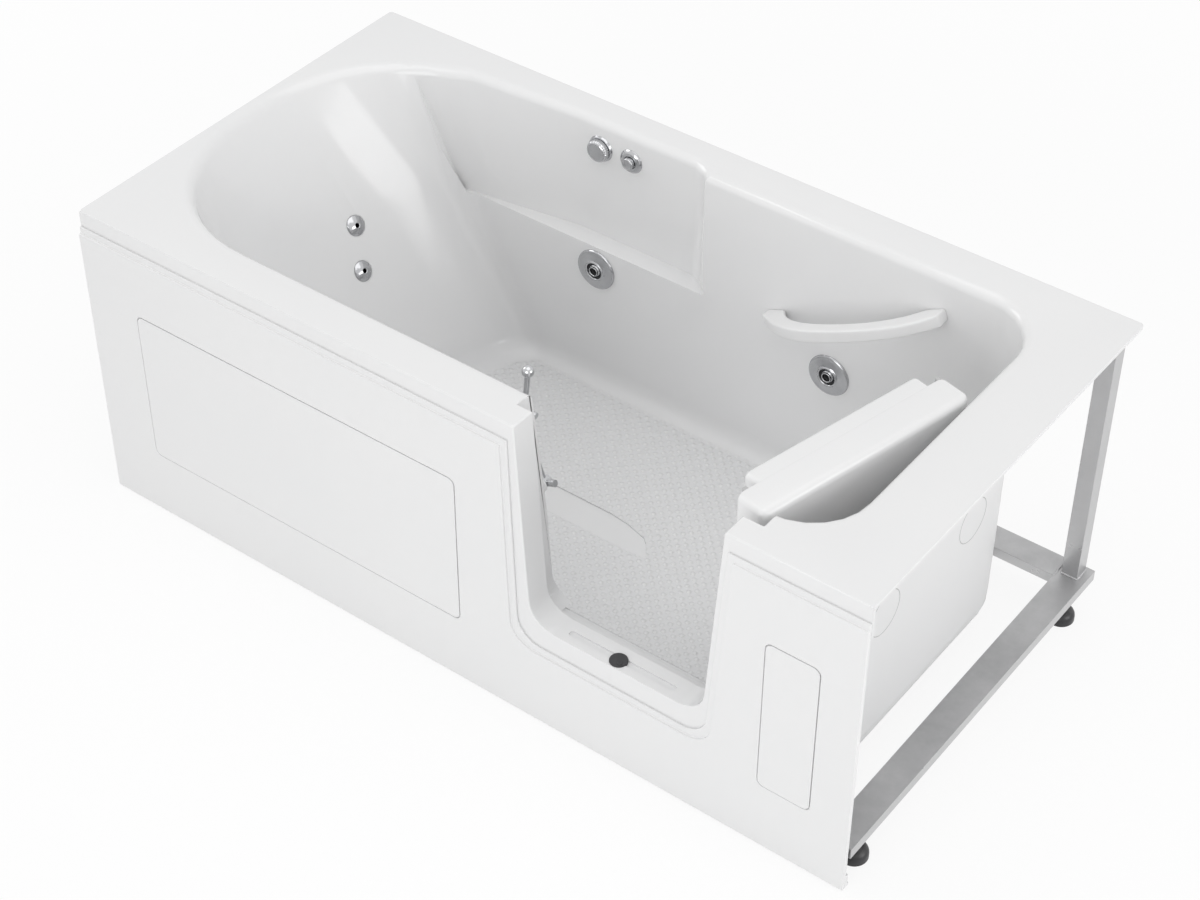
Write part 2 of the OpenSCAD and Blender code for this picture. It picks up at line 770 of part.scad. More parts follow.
module latch_lever(place, lean) {
    color("silver") at_latch(place) translate([0, latch_y, 0]) rotate([0, lean, 0]) difference() {
        union() {
            cylinder(h = latch_rod, d = latch_rod_d, $fn = fine);
            translate([0, 0, latch_rod]) sphere(d = latch_ball_d, $fn = fine);
            translate([-latch_bar_length / 2, 0, 0]) rotate([0, 90, 0])
                cylinder(h = latch_bar_length, d = latch_bar_d, $fn = fine);
            translate([0, latch_hub_length / 2, 0]) rotate([90, 0, 0])
                cylinder(h = latch_hub_length, d = latch_hub_d, $fn = fine);
        }
        translate([0, latch_hub_length, 0]) rotate([90, 0, 0])
            cylinder(h = 2 * latch_hub_length, d = latch_pin_d + 2 * running_fit, $fn = fine);
    }
}
module latch_lever_upper() latch_lever(upper_latch, upper_lean);
module latch_lever_lower() latch_lever(lower_latch, lower_lean);

module latch_pins() {
    color("silver") for (place = [upper_latch, lower_latch]) at_latch(place) {
        back = wall_front(place[1]) - 2 * shell_wall;
        front = latch_y + latch_hub_length / 2 + fit;
        translate([0, front + latch_lock_ring, 0]) rotate([90, 0, 0]) {
            cylinder(h = front + latch_lock_ring - back, d = latch_pin_d, $fn = fine);
            cylinder(h = latch_lock_ring, d = latch_pin_d + 2 * latch_lock_ring, $fn = fine);
        }
    }
}

// Grab bar: the section of each ring runs from the inner curve to the outer curve of the bow
bar_inner_shares = [[0, 0], [0.055, 0], [0.109, 0], [0.122, 0.2], [0.142, 0.36], [0.189, 0.62],
    [0.253, 0.82], [0.345, 0.955], [0.47, 1], [0.593, 0.945], [0.707, 0.8], [0.807, 0.53],
    [0.859, 0.29], [0.904, 0], [0.95, 0], [1, 0]];
bar_outer_shares = [[0, 0.22], [0.045, 0.39], [0.1, 0.56], [0.13, 0.645], [0.165, 0.73], [0.22, 0.845],
    [0.29, 0.93], [0.38, 0.985], [0.5, 1], [0.62, 0.975], [0.73, 0.905], [0.82, 0.79], [0.88, 0.68],
    [0.93, 0.54], [0.967, 0.41], [1, 0.26]];
function bar_ring(i) =
    let (length = norm([bar_span, bar_rise]), c = bar_chamfer, h = bar_height / 2,
        o = [bar_outer_shares[i][0] * length, bar_outer_shares[i][1] * (bar_bow + bar_depth)],
        n = [bar_inner_shares[i][0] * length, bar_inner_shares[i][1] * bar_bow],
        d = c * (o - n) / norm(o - n))
    [for (q = [[n + d, -h], [n, c - h], [n, h - c], [n + d, h], [o - d, h], [o, h - c], [o, c - h],
        [o - d, -h]])
        let (x = bar_left_x + (q[0][0] * bar_span - q[1] * bar_rise) / length,
            z = bar_left_z + (q[0][0] * bar_rise + q[1] * bar_span) / length)
            [x, wall_back(z) - fit - q[0][1], z]];
module grab_bar() {
    color("white") difference() {
        loft([for (i = [0:len(bar_inner_shares) - 1]) bar_ring(i)]);
        for (side = [0, 1]) at_bar_stud(side) translate([0, 0, -over])
            cylinder(h = bar_stud_grip + over + fit, d = bar_stud_d + running_fit, $fn = round_fn);
    }
}
module grab_bar_studs() {
    color("silver") for (side = [0, 1]) at_bar_stud(side) translate([0, 0, -bar_stud_length])
        cylinder(h = bar_stud_length + bar_stud_grip, d = bar_stud_d, $fn = round_fn);
}

// Large jets: a domed plate with a collar, an eyeball nozzle and a body behind the wall
module jet_faceplate(side) {
    color("silver") at_jet(side) rotate_extrude($fn = fine) polygon([[jet_mouth_r, 0],
        [jet_face_d / 2, 0], [jet_face_d / 2, jet_edge], [jet_face_d / 2 - jet_edge, jet_edge + over],
        [jet_collar_r + jet_edge, jet_crown - over], [jet_collar_r, jet_crown + over],
        [jet_mouth_r, jet_crown + over]]);
}
module jet_faceplate_left() jet_faceplate(0);
module jet_faceplate_right() jet_faceplate(1);

module jet_nozzle(side) {
    color("silver") at_jet(side) difference() {
        intersection() {
            sphere(r = jet_ball_r, $fn = fine);
            translate([0, 0, -jet_ball_r + over]) cylinder(h = 2 * jet_ball_r - 3 * over, r = jet_ball_r,
                $fn = fine);
        }
        translate([0, 0, -jet_ball_r]) cylinder(h = 2 * jet_ball_r, r = jet_bore_r, $fn = fine);
    }
}
module jet_nozzle_left() jet_nozzle(0);
module jet_nozzle_right() jet_nozzle(1);

module jet_body(side) {
    color("gainsboro") at_jet(side) rotate([180, 0, 0]) difference() {
        union() {
            cylinder(h = jet_body_length, r = jet_body_r, $fn = fine);
            translate([0, 0, shell_wall + fit]) cylinder(h = jet_nut_length, r = jet_nut_r, $fn = 8);
            translate([0, 0, jet_body_length]) cylinder(h = jet_nut_length, r = water_pipe_d / 2 + jet_edge,
                $fn = fine);
        }
        translate([0, 0, -over]) cylinder(h = jet_ball_r + 2 * over, r = jet_ball_r + fit, $fn = fine);
        cylinder(h = jet_body_length + jet_nut_length + over, r = jet_bore_r, $fn = fine);
    }
}
module jet_body_left() jet_body(0);
module jet_body_right() jet_body(1);

// Small jets in the backrest, each a chromed cap on its own body
module back_jet(i) {
    color("silver") at_back_jet(i) translate([0, 0, -spot_depth]) {
        rotate_extrude($fn = fine) polygon([[back_jet_hole_r, 0], [back_jet_d / 2, 0],
            [back_jet_d / 2, over], [back_jet_d / 2 - 2 * over, 2 * over + over],
            [back_jet_d / 4, back_jet_crown - over], [back_jet_hole_r + over, back_jet_crown],
            [back_jet_hole_r, back_jet_crown - over]]);
        rotate([180, 0, 0]) difference() {
            union() {
                cylinder(h = back_jet_body_length, r = back_jet_body_r, $fn = fine);
                translate([0, 0, 2 * shell_wall]) cylinder(h = jet_nut_length, r = back_jet_nut_r, $fn = 6);
            }
            translate([0, 0, -over]) cylinder(h = back_jet_body_length + 2 * over, r = back_jet_hole_r,
                $fn = fine);
        }
    }
}
module back_jet_upper() back_jet(0);
module back_jet_lower() back_jet(1);

// Air control and push button on the recessed wall
module air_control_base() {
    color("silver") at_control(air_control_x) difference() {
        union() {
            cylinder(h = control_base, r1 = air_control_d / 2, r2 = air_control_d / 2 - control_base / 2,
                $fn = fine);
            translate([0, 0, -control_stem_length]) cylinder(h = control_stem_length + over,
                r = control_stem_r, $fn = fine);
        }
        translate([0, 0, -control_stem_length / 2]) cylinder(h = control_stem_length,
            r = control_stem_r / 2 + running_fit, $fn = fine);
    }
}
module air_control_knob() {
    color("silver") at_control(air_control_x) translate([0, 0, control_base + fit]) {
        rotate_extrude($fn = fine) polygon(concat([[0, 0], [knob_d / 2, 0]],
            [for (i = [0:fillet_steps]) let (a = 90 * i / fillet_steps)
                [knob_d / 2 * cos(a), knob_height / 2 + knob_height / 2 * sin(a)]]));
        translate([0, 0, -control_stem_length / 3]) cylinder(h = control_stem_length / 3 + over,
            r = control_stem_r / 2, $fn = fine);
        translate([-over, 0, knob_height / 2]) cube([2 * over, knob_d / 2 - over, knob_height / 2]);
    }
}
module button_surround() {
    color("silver") at_control(button_x) difference() {
        union() {
            cylinder(h = button_ring_height, r1 = button_ring_d / 2, r2 = button_d / 2 + button_ring_height,
                $fn = fine);
            translate([0, 0, -control_stem_length]) cylinder(h = control_stem_length + over,
                r = control_stem_r, $fn = fine);
        }
        translate([0, 0, over]) cylinder(h = button_ring_height, d = button_d + 2 * fit, $fn = fine);
        translate([0, 0, -control_stem_length / 2]) cylinder(h = control_stem_length,
            r = control_stem_r / 2 + running_fit, $fn = fine);
    }
}
module push_button() {
    color("silver") at_control(button_x) translate([0, 0, over + button_travel + fit]) {
        cylinder(h = button_ring_height + button_height - button_travel - over - fit, d = button_d,
            $fn = fine);
        translate([0, 0, -control_stem_length / 4]) cylinder(h = control_stem_length / 4 + over,
            r = control_stem_r / 2, $fn = fine);
    }
}

module hex_nut(d, bore_d, h) difference() {
    cylinder(h = h, d = d, $fn = 6);
    translate([0, 0, -over]) cylinder(h = h + 2 * over, d = bore_d, $fn = fine);
}
module fitting_nuts() {
    color("silver") {
        for (x = [air_control_x, button_x]) at_control(x) translate([0, 0, -shell_wall - fit
            - control_nut_length]) hex_nut(2 * control_nut_r, 2 * (control_stem_r + running_fit),
            control_nut_length);
        for (side = [0, 1]) at_bar_stud(side) translate([0, 0, -shell_wall - over - control_nut_length])
            hex_nut(bar_nut_d, bar_stud_d + 2 * running_fit, control_nut_length);
        for (place = [upper_latch, lower_latch]) at_latch(place)
            translate([0, wall_front(place[1]) - shell_wall - over, 0]) rotate([90, 0, 0])
                hex_nut(latch_nut_d, latch_pin_d + 2 * running_fit, latch_nut_length);
    }
}

// Floor drain with its tail, a lift stopper, and the suction fitting in the front wall
module floor_drain() {
    top = basin_floor - tray_depth;
    color("silver") translate([drain_x, drain_y, 0]) difference() {
        union() {
            translate([0, 0, top - drain_lip]) cylinder(h = drain_lip, d = drain_d, $fn = fine);
            translate([0, 0, drain_tail_bottom + drain_tail_length]) cylinder(h = top - drain_lip
                - drain_tail_bottom - drain_tail_length, d = drain_thread_d, $fn = fine);
            translate([0, 0, drain_tail_bottom]) cylinder(h = drain_tail_length + over,
                d = drain_tail_d, $fn = fine);
        }
        translate([0, 0, drain_tail_bottom - over]) cylinder(h = top, d = drain_tail_d - 2 * drain_wall,
            $fn = fine);
    }
}
module drain_stopper() {
    color("silver") translate([drain_x, drain_y, basin_floor - tray_depth + fit]) {
        cylinder(h = stopper_height, d1 = stopper_d, d2 = stopper_d - stopper_height, $fn = fine);
        translate([0, 0, -stopper_d / 2]) cylinder(h = stopper_d / 2 + over,
            d = drain_tail_d - 2 * drain_wall - 2 * running_fit, $fn = fine);
    }
}
module suction_fitting() {
    color("silver") at_suction() difference() {
        union() {
            rotate_extrude($fn = fine) polygon([[0, 0], [suction_d / 2, 0], [suction_d / 2, over],
                [suction_d / 2 - 3 * over, suction_crown / 2], [suction_d / 4, suction_crown - over],
                [0, suction_crown]]);
            translate([0, 0, -suction_body_length]) cylinder(h = suction_body_length + over,
                r = suction_body_r, $fn = fine);
        }
        translate([0, 0, -suction_body_length - over]) cylinder(h = suction_body_length + suction_crown / 2,
            r = suction_body_r - drain_wall, $fn = fine);
        for (i = [0:suction_slots - 1]) rotate([0, 0, 360 * i / suction_slots])
            translate([suction_body_r / 2, -over, 0])
                cube([suction_body_r / 3, 2 * over, suction_crown + over]);
    }
}
module sill_plug() {
    color("dimgray") translate([plug_x, plug_y, sill_height - trough_depth]) {
        cylinder(h = plug_height, d = plug_d, $fn = fine);
        translate([0, 0, -shell_wall - over]) cylinder(h = shell_wall + 2 * over, d = plug_stem_d,
            $fn = fine);
        translate([plug_nub_offset, -plug_nub_offset, plug_height - over])
            cylinder(h = plug_nub_height + over, d = plug_nub_d, $fn = fine);
    }
}
module end_wall_discs() {
    color("white") for (side = [-1, 1]) at_disc(side) translate([0, 0, -disc_thickness])
        cylinder(h = disc_thickness, d = disc_d, $fn = fine);
}

// Base frame of square-cut tubes
module tube(length, w, h) difference() {
    cube([length, w, h]);
    translate([-over, tube_wall, tube_wall])
        cube([length + 2 * over, w - 2 * tube_wall, h - 2 * tube_wall]);
}
module long_rail(y) color("silver") translate([-half_length + frame_margin_x + rail_width, y, rail_bottom])
    tube(tub_length - 2 * (frame_margin_x + rail_width), rail_width, rail_height);
module end_rail(side) {
    x = side * (half_length - frame_margin_x - rail_width / 2);
    length = tub_width - 2 * frame_margin_y;
    color("silver") difference() {
        union() {
            translate([x + rail_width / 2, -length / 2, rail_bottom]) rotate([0, 0, 90])
                tube(length, rail_width, rail_height);
            for (end = [-1, 1]) at_foot(side, end) translate([0, 0, rail_bottom])
                cylinder(h = rail_height, d = insert_d, $fn = fine);
        }
        for (end = [-1, 1]) at_foot(side, end)
            cylinder(h = foot_bore_top, d = foot_screw_d + 2 * running_fit, $fn = fine);
    }
}
module at_foot(side, end)
    translate([side * (half_length - foot_x_inset), end * (half_width - foot_inset), 0]) children();
module rail_front() long_rail(-half_width + frame_margin_y);
module rail_back() long_rail(half_width - frame_margin_y - rail_width);
module rail_head_end() end_rail(-1);
module rail_foot_end() end_rail(1);

module post(x, y) color("silver") translate([x, y, frame_top]) difference() {
    cube([post_side, post_side, deck_height - deck_thickness - frame_top]);
    translate([tube_wall, tube_wall, -over]) cube([post_side - 2 * tube_wall, post_side - 2 * tube_wall,
        deck_height]);
}
post_front_y = -half_width + frame_margin_y + post_back_inset;
post_back_y = half_width - frame_margin_y - post_back_inset - post_side;
module post_front_left() post(-half_length + front_post_inset, post_front_y);
module post_front_right() post(half_length - front_post_inset - post_side, post_front_y);
module post_back_left() post(-half_length + post_margin, post_back_y);
module post_back_right() post(half_length - post_margin - post_side, post_back_y);

module foot(side, end) color("black") at_foot(side, end) {
    rotate_extrude($fn = fine) polygon(concat([[0, 0], [foot_d / 2, 0], [foot_d / 2, foot_pad_height]],
        [for (i = [1:fillet_steps]) let (a = 90 * i / fillet_steps)
            [mix(foot_neck_d / 2, foot_d / 2, cos(a)), foot_pad_height + foot_dome_height * sin(a)]],
        [[foot_neck_d / 2, foot_pad_height + foot_dome_height + over],
            [0, foot_pad_height + foot_dome_height + over]]));
    cylinder(h = foot_screw_top, d = foot_screw_d, $fn = fine);
}
module foot_front_left() foot(-1, -1);
module foot_front_right() foot(1, -1);
module foot_back_left() foot(-1, 1);
module foot_back_right() foot(1, 1);
module foot_lock_nuts() color("silver") for (side = [-1, 1], end = [-1, 1]) at_foot(side, end)
    translate([0, 0, rail_bottom - nut_height]) hex_nut(nut_d, foot_screw_d + 2 * running_fit, nut_height);

// Pump on a shelf across the frame
module pump_shelf() color("tan") translate([shelf_x, -shelf_reach, frame_top])
    cube([shelf_width, 2 * shelf_reach, shelf_thickness]);
module at_pump(y) translate([pump_x, y, pump_z]) rotate([-90, 0, 0]) children();
module pump_motor() {
    color("dimgray") {
        difference() {
            at_pump(motor_y) cylinder(h = motor_length, d = motor_d, $fn = fine);
            for (i = [0:motor_fins - 1]) translate([pump_x, motor_y + motor_length * 0.2, pump_z])
                rotate([0, 15 + 150 * i / (motor_fins - 1), 0])
                    translate([-motor_d / 2 - over, 0, -fin_gap / 2])
                        cube([fin_depth + over, motor_length * 0.55, fin_gap]);
        }
        translate([pump_x - terminal_width / 2, motor_y + motor_length - terminal_length - 4 * over,
            pump_z + motor_d / 2 - terminal_height / 3]) linear_extrude(terminal_height)
                rounded_outline(0, 0, terminal_width, terminal_length, terminal_height / 5);
        translate([pump_x - pump_foot_width / 2, motor_y + (motor_length - pump_foot_length) / 2,
            frame_top + shelf_thickness]) {
            cube([pump_foot_width, pump_foot_length, pump_foot_thickness]);
            for (x = [pump_foot_width / 5, pump_foot_width * 4 / 5 - pump_foot_thickness])
                translate([x, 0, 0]) cube([pump_foot_thickness, pump_foot_length,
                    pump_z - frame_top - shelf_thickness - motor_d / 2 + fin_depth * 2]);
        }
    }
}
module pump_wet_end() {
    color("black") difference() {
        union() {
            at_pump(motor_y - volute_length) cylinder(h = volute_length, d = volute_d, $fn = fine);
            at_pump(motor_y - volute_length - port_length) cylinder(h = port_length + over, d = port_d,
                $fn = fine);
            translate([pump_x - (volute_d - port_d) / 2 + over, motor_y - port_d / 2 - fit, pump_z])
                cylinder(h = volute_d / 2 + port_length, d = port_d, $fn = fine);
        }
        at_pump(motor_y - volute_length - port_length - over) cylinder(h = port_length + over,
            d = port_d - 4 * drain_wall, $fn = fine);
        translate([pump_x - (volute_d - port_d) / 2 + over, motor_y - port_d / 2 - fit,
            pump_z + volute_d / 2])
                cylinder(h = port_length + over, d = port_d - 4 * drain_wall, $fn = fine);
    }
}

// Pipes: straight runs and quarter bends, bored through
module pipe(r, length, bore_r) difference() {
    cylinder(h = length, r = r, $fn = fine);
    translate([0, 0, -over]) cylinder(h = length + 2 * over, r = bore_r, $fn = fine);
}
module quarter_bend(r, bend_r, bore_r) rotate_extrude(angle = 90, $fn = fine) translate([bend_r, 0])
    difference() {
        circle(r = r, $fn = fine);
        circle(r = bore_r, $fn = fine);
    }

// Suction pipe: out of the suction fitting, along the front wall and into the pump
module suction_pipe() {
    r = port_d / 2;
    bore_r = r - 2 * drain_wall;
    start_y = low_front_y - suction_body_length - fit;
    run_y = start_y - pipe_bend;
    port_end = motor_y - volute_length - port_length - fit;
    color("gainsboro") {
        translate([suction_x - pipe_bend, start_y, pump_z]) rotate([0, 0, -90])
            quarter_bend(r, pipe_bend, bore_r);
        translate([pump_x + pipe_bend, run_y, pump_z]) rotate([0, 90, 0])
            pipe(r, suction_x - pump_x - 2 * pipe_bend, bore_r);
        translate([pump_x + pipe_bend, start_y, pump_z]) rotate([0, 0, 180])
            quarter_bend(r, pipe_bend, bore_r);
        translate([pump_x, start_y, pump_z]) rotate([-90, 0, 0])
            pipe(r, port_end - start_y, bore_r);
    }
}

// Pressure pipe: up from the pump, behind the backrest and along the back wall to the large jets
pressure_x = pump_x - (volute_d - port_d) / 2 + over;
pressure_y = low_back_y + jet_body_length + jet_nut_length + fit + water_pipe_d / 2;
module pressure_pipe() {
    r = water_pipe_d / 2;
    bore_r = r - drain_wall;
    riser_y = motor_y - port_d / 2 - fit;
    riser_top = jet_height - pipe_bend;
    port_top = pump_z + volute_d / 2 + port_length + fit;
    color("gainsboro") difference() {
        union() {
            translate([pressure_x, riser_y, port_top]) {
                cylinder(h = riser_top - port_top, r = r, $fn = fine);
                cylinder(h = riser_collar, r = port_d / 2, $fn = fine);
            }
            translate([pressure_x, riser_y + pipe_bend, riser_top]) rotate([90, 0, -90])
                quarter_bend(r, pipe_bend, bore_r);
            translate([pressure_x, riser_y + pipe_bend, jet_height]) rotate([-90, 0, 0])
                cylinder(h = pressure_y - riser_y - 2 * pipe_bend, r = r, $fn = fine);
            translate([pressure_x + pipe_bend, pressure_y - pipe_bend, jet_height]) rotate([0, 0, 90])
                quarter_bend(r, pipe_bend, bore_r);
            translate([pressure_x + pipe_bend, pressure_y, jet_height]) rotate([0, 90, 0])
                cylinder(h = jet_x[1] + jet_body_r - pressure_x - pipe_bend, r = r, $fn = fine);
            for (x = jet_x) translate([x, pressure_y, jet_height]) rotate([90, 0, 0])
                cylinder(h = r, r = r + jet_edge, $fn = fine);
            translate([air_control_x, air_tube_y, jet_height]) cylinder(h = air_stub_length,
                d = air_tube_d + 2 * drain_wall, $fn = fine);
            for (i = [0, 1]) hose_stub(i);
        }
        translate([pressure_x, riser_y, port_top - over])
            cylinder(h = riser_top - port_top + over, r = bore_r, $fn = fine);
        translate([pressure_x, riser_y + pipe_bend, jet_height]) rotate([-90, 0, 0])
            cylinder(h = pressure_y - riser_y - 2 * pipe_bend, r = bore_r, $fn = fine);
        translate([pressure_x + pipe_bend, pressure_y, jet_height]) rotate([0, 90, 0])
            cylinder(h = jet_x[1] - pressure_x - pipe_bend, r = bore_r, $fn = fine);
        for (x = jet_x) translate([x, pressure_y, jet_height]) rotate([90, 0, 0])
            cylinder(h = r + over, r = jet_bore_r, $fn = fine);
    }
}

// Hoses from the pressure pipe to the backrest jets, each on its jet's axis
function back_jet_length(i) = let (p = back_jets[i], a = backrest_tilt(p[0], p[1]),
    b = backrest_turn(p[0], p[1])) (backrest_x(p[0], p[1]) - pressure_x) / (cos(a) * cos(b));
function hose_turn_z(i) = back_jets[i][1]
    - back_jet_length(i) * sin(backrest_tilt(back_jets[i][0], back_jets[i][1]));
function hose_stub_low(i) = jet_height - hose_turn_z(i) - (water_pipe_d + hose_stub_length) / 2;
module hose_stub(i) {
    if (i == 0) at_back_jet(i) translate([0, 0, -back_jet_length(i)])
        cylinder(h = hose_stub_length, d = hose_d, $fn = fine);
    else at_hose_turn(i) translate([0, 0, hose_stub_low(i)])
        cylinder(h = hose_stub_length, d = hose_d, $fn = fine);
}
module at_hose_turn(i) let (p = back_jets[i], a = backrest_tilt(p[0], p[1]), b = backrest_turn(p[0], p[1]))
    translate([pressure_x, p[0] - back_jet_length(i) * cos(a) * sin(b), hose_turn_z(i)]) children();
module back_jet_hoses() {
    start = back_jet_body_length + spot_depth + fit;
    color("dimgray") {
        at_back_jet(0) translate([0, 0, -back_jet_length(0) + hose_stub_length + fit])
            cylinder(h = back_jet_length(0) - hose_stub_length - fit - start, d = hose_d, $fn = fine);
        at_back_jet(1) translate([0, 0, -back_jet_length(1)])
            cylinder(h = back_jet_length(1) - start, d = hose_d, $fn = fine);
        at_hose_turn(1) {
            sphere(d = hose_d + elbow_swell, $fn = fine);
            cylinder(h = hose_stub_low(1) - fit, d = hose_d, $fn = fine);
        }
    }
}

// Air tube from the air control down to the pressure pipe
module air_tube() color("dimgray") translate([air_control_x, air_tube_y, control_z]) {
    sphere(d = air_tube_d + elbow_swell, $fn = fine);
    translate([0, 0, jet_height + air_stub_length + fit - control_z])
        cylinder(h = control_z - jet_height - air_stub_length - fit, d = air_tube_d, $fn = fine);
}

tub_shell();
front_apron();
access_panel_large();
access_panel_small();
door_panel();
door_seal();
hinge_lug_upper();
hinge_lug_lower();
hinge_pins();
latch_boss_upper();
latch_boss_lower();
latch_lever_upper();
latch_lever_lower();
latch_pins();
grab_bar();
grab_bar_studs();
jet_faceplate_left();
jet_faceplate_right();
jet_nozzle_left();
jet_nozzle_right();
jet_body_left();
jet_body_right();
back_jet_upper();
back_jet_lower();
air_control_base();
air_control_knob();
button_surround();
push_button();
fitting_nuts();
floor_drain();
drain_stopper();
suction_fitting();
sill_plug();
end_wall_discs();
rail_front();
rail_back();
rail_head_end();
rail_foot_end();
post_front_left();
post_front_right();
post_back_left();
post_back_right();
foot_front_left();
foot_front_right();
foot_back_left();
foot_back_right();
foot_lock_nuts();
pump_shelf();
pump_motor();
pump_wet_end();
suction_pipe();
pressure_pipe();
back_jet_hoses();
air_tube();
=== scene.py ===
import bmesh
import bpy
import json
import math
import numpy as np
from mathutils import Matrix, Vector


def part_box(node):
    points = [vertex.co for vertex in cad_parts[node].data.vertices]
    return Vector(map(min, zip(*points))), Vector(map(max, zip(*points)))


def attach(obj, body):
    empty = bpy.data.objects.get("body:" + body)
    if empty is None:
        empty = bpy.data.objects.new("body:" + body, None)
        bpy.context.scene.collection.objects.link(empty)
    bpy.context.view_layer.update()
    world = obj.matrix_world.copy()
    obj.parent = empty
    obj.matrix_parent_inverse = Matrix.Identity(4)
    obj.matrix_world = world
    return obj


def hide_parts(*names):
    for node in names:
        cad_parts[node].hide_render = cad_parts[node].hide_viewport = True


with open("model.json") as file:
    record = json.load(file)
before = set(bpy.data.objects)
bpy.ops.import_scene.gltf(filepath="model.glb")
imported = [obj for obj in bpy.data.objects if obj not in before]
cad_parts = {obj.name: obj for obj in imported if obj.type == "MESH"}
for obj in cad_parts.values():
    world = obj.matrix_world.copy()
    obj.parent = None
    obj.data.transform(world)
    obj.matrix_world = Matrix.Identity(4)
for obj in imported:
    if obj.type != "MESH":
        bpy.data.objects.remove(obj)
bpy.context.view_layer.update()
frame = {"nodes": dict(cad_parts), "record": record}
nodes = frame["nodes"]
scene = bpy.context.scene
print("frame loaded:", len(nodes), "nodes")


# camera and stage
camera = {
    "lens": 75.067, "sensor": 36.0,  # millimetres
    "place": (1.90957, -2.54130, 2.96531), "reach": 60.0,  # metres
    "turn": (49.0715, -0.1849, 36.9383),  # degrees about x, y, z
}
lens = bpy.data.cameras.new("photoCamera")
lens.lens, lens.sensor_width, lens.clip_end = camera["lens"], camera["sensor"], camera["reach"]
eye = bpy.data.objects.new("photoCamera", lens)
eye.location = camera["place"]
eye.rotation_euler = [math.radians(a) for a in camera["turn"]]
scene.collection.objects.link(eye)
scene.camera = eye
scene.view_settings.view_transform = "Standard"

studio = {
    "worldGrey": 0.65,  # soft light from all round
    "lamps": [  # name, place, aimed at, size, power in watts
        ("overheadSoftbox", (0.3, 0.0, 3.4), (0.0, 0.1, 0.3), 3.0, 23.0),
        ("frontSoftbox", (0.9, -3.6, 1.5), (0.0, -0.2, 0.3), 2.4, 37.0),
        ("footSoftbox", (3.4, 0.2, 1.3), (0.0, 0.0, 0.3), 1.8, 27.0),
        ("headSoftbox", (-3.2, -0.6, 2.6), (0.0, 0.0, 0.4), 1.6, 20.0),
    ],
    "floorSize": 14.0, "floorLevel": -0.0004,
    "floorGrey": 0.86, "shadowShare": 0.12, "shadowReach": (1.3, 3.2),  # metres over which the shadow fades
}


def addLamp(name, spot, target, size, power):
    # square soft lamp at spot, turned to face target
    lamp = bpy.data.lights.new(name, "AREA")
    lamp.shape, lamp.size, lamp.energy = "SQUARE", size, power
    holder = bpy.data.objects.new(name, lamp)
    away = np.array(target) - np.array(spot)
    flat = math.hypot(away[0], away[1])
    holder.location = spot
    holder.rotation_euler = (math.atan2(flat, -away[2]), 0, math.atan2(away[1], away[0]) - math.pi / 2)
    scene.collection.objects.link(holder)


for lampFacts in studio["lamps"]:
    addLamp(*lampFacts)


def addNode(tree, kind, settings=None, family="ShaderNode", **values):
    # adds a node, sets its fields, then its sockets or the links to them, by name or as i and a number
    node = tree.nodes.new(family + kind)
    for key, value in (settings or {}).items():
        setattr(node, key, value)
    for key, value in values.items():
        socket = node.inputs[int(key[1:])] if key[0] == "i" and key[1:].isdigit() else node.inputs[key]
        if isinstance(value, bpy.types.NodeSocket):
            tree.links.new(value, socket)
        else:
            socket.default_value = value
    return node


def mathNode(tree, operation, *values):
    # one math node on numbers or sockets
    return addNode(tree, "Math", {"operation": operation},
        **{"i" + str(k): value for k, value in enumerate(values)}).outputs[0]


def remap(tree, value, low, high, toLow, toHigh):
    # linear change of range, held at both ends
    return addNode(tree, "MapRange", {"clamp": True}, i0=value, i1=low, i2=high, i3=toLow, i4=toHigh).outputs[0]


def mixedColour(tree, share, first, second):
    # first colour at share 0, second at share 1
    return addNode(tree, "Mix", {"data_type": "RGBA"}, i0=share, i6=first, i7=second).outputs[2]


def seenDirect(tree):
    # 1 where the camera, a mirror or a clear surface sees it, 0 where it lights others
    path = addNode(tree, "LightPath")
    first = mathNode(tree, "MAXIMUM", path.outputs["Is Camera Ray"], path.outputs["Is Glossy Ray"])
    return mathNode(tree, "MAXIMUM", first, path.outputs["Is Transmission Ray"])


world = bpy.data.worlds.new("studioWorld")
scene.world = world
world.use_nodes = True
tree = world.node_tree
tree.nodes.clear()
glow = addNode(tree, "Background", Color=(studio["worldGrey"],) * 3 + (1,))
white = addNode(tree, "Background", Color=(1, 1, 1, 1))
seen = addNode(tree, "MixShader", i0=seenDirect(tree), i1=glow.outputs[0], i2=white.outputs[0])
addNode(tree, "OutputWorld", Surface=seen.outputs[0])


# meshes worked out with numpy
millimetre = 0.001
joinWithin = 0.00001  # metres: nearer points of a new piece become one


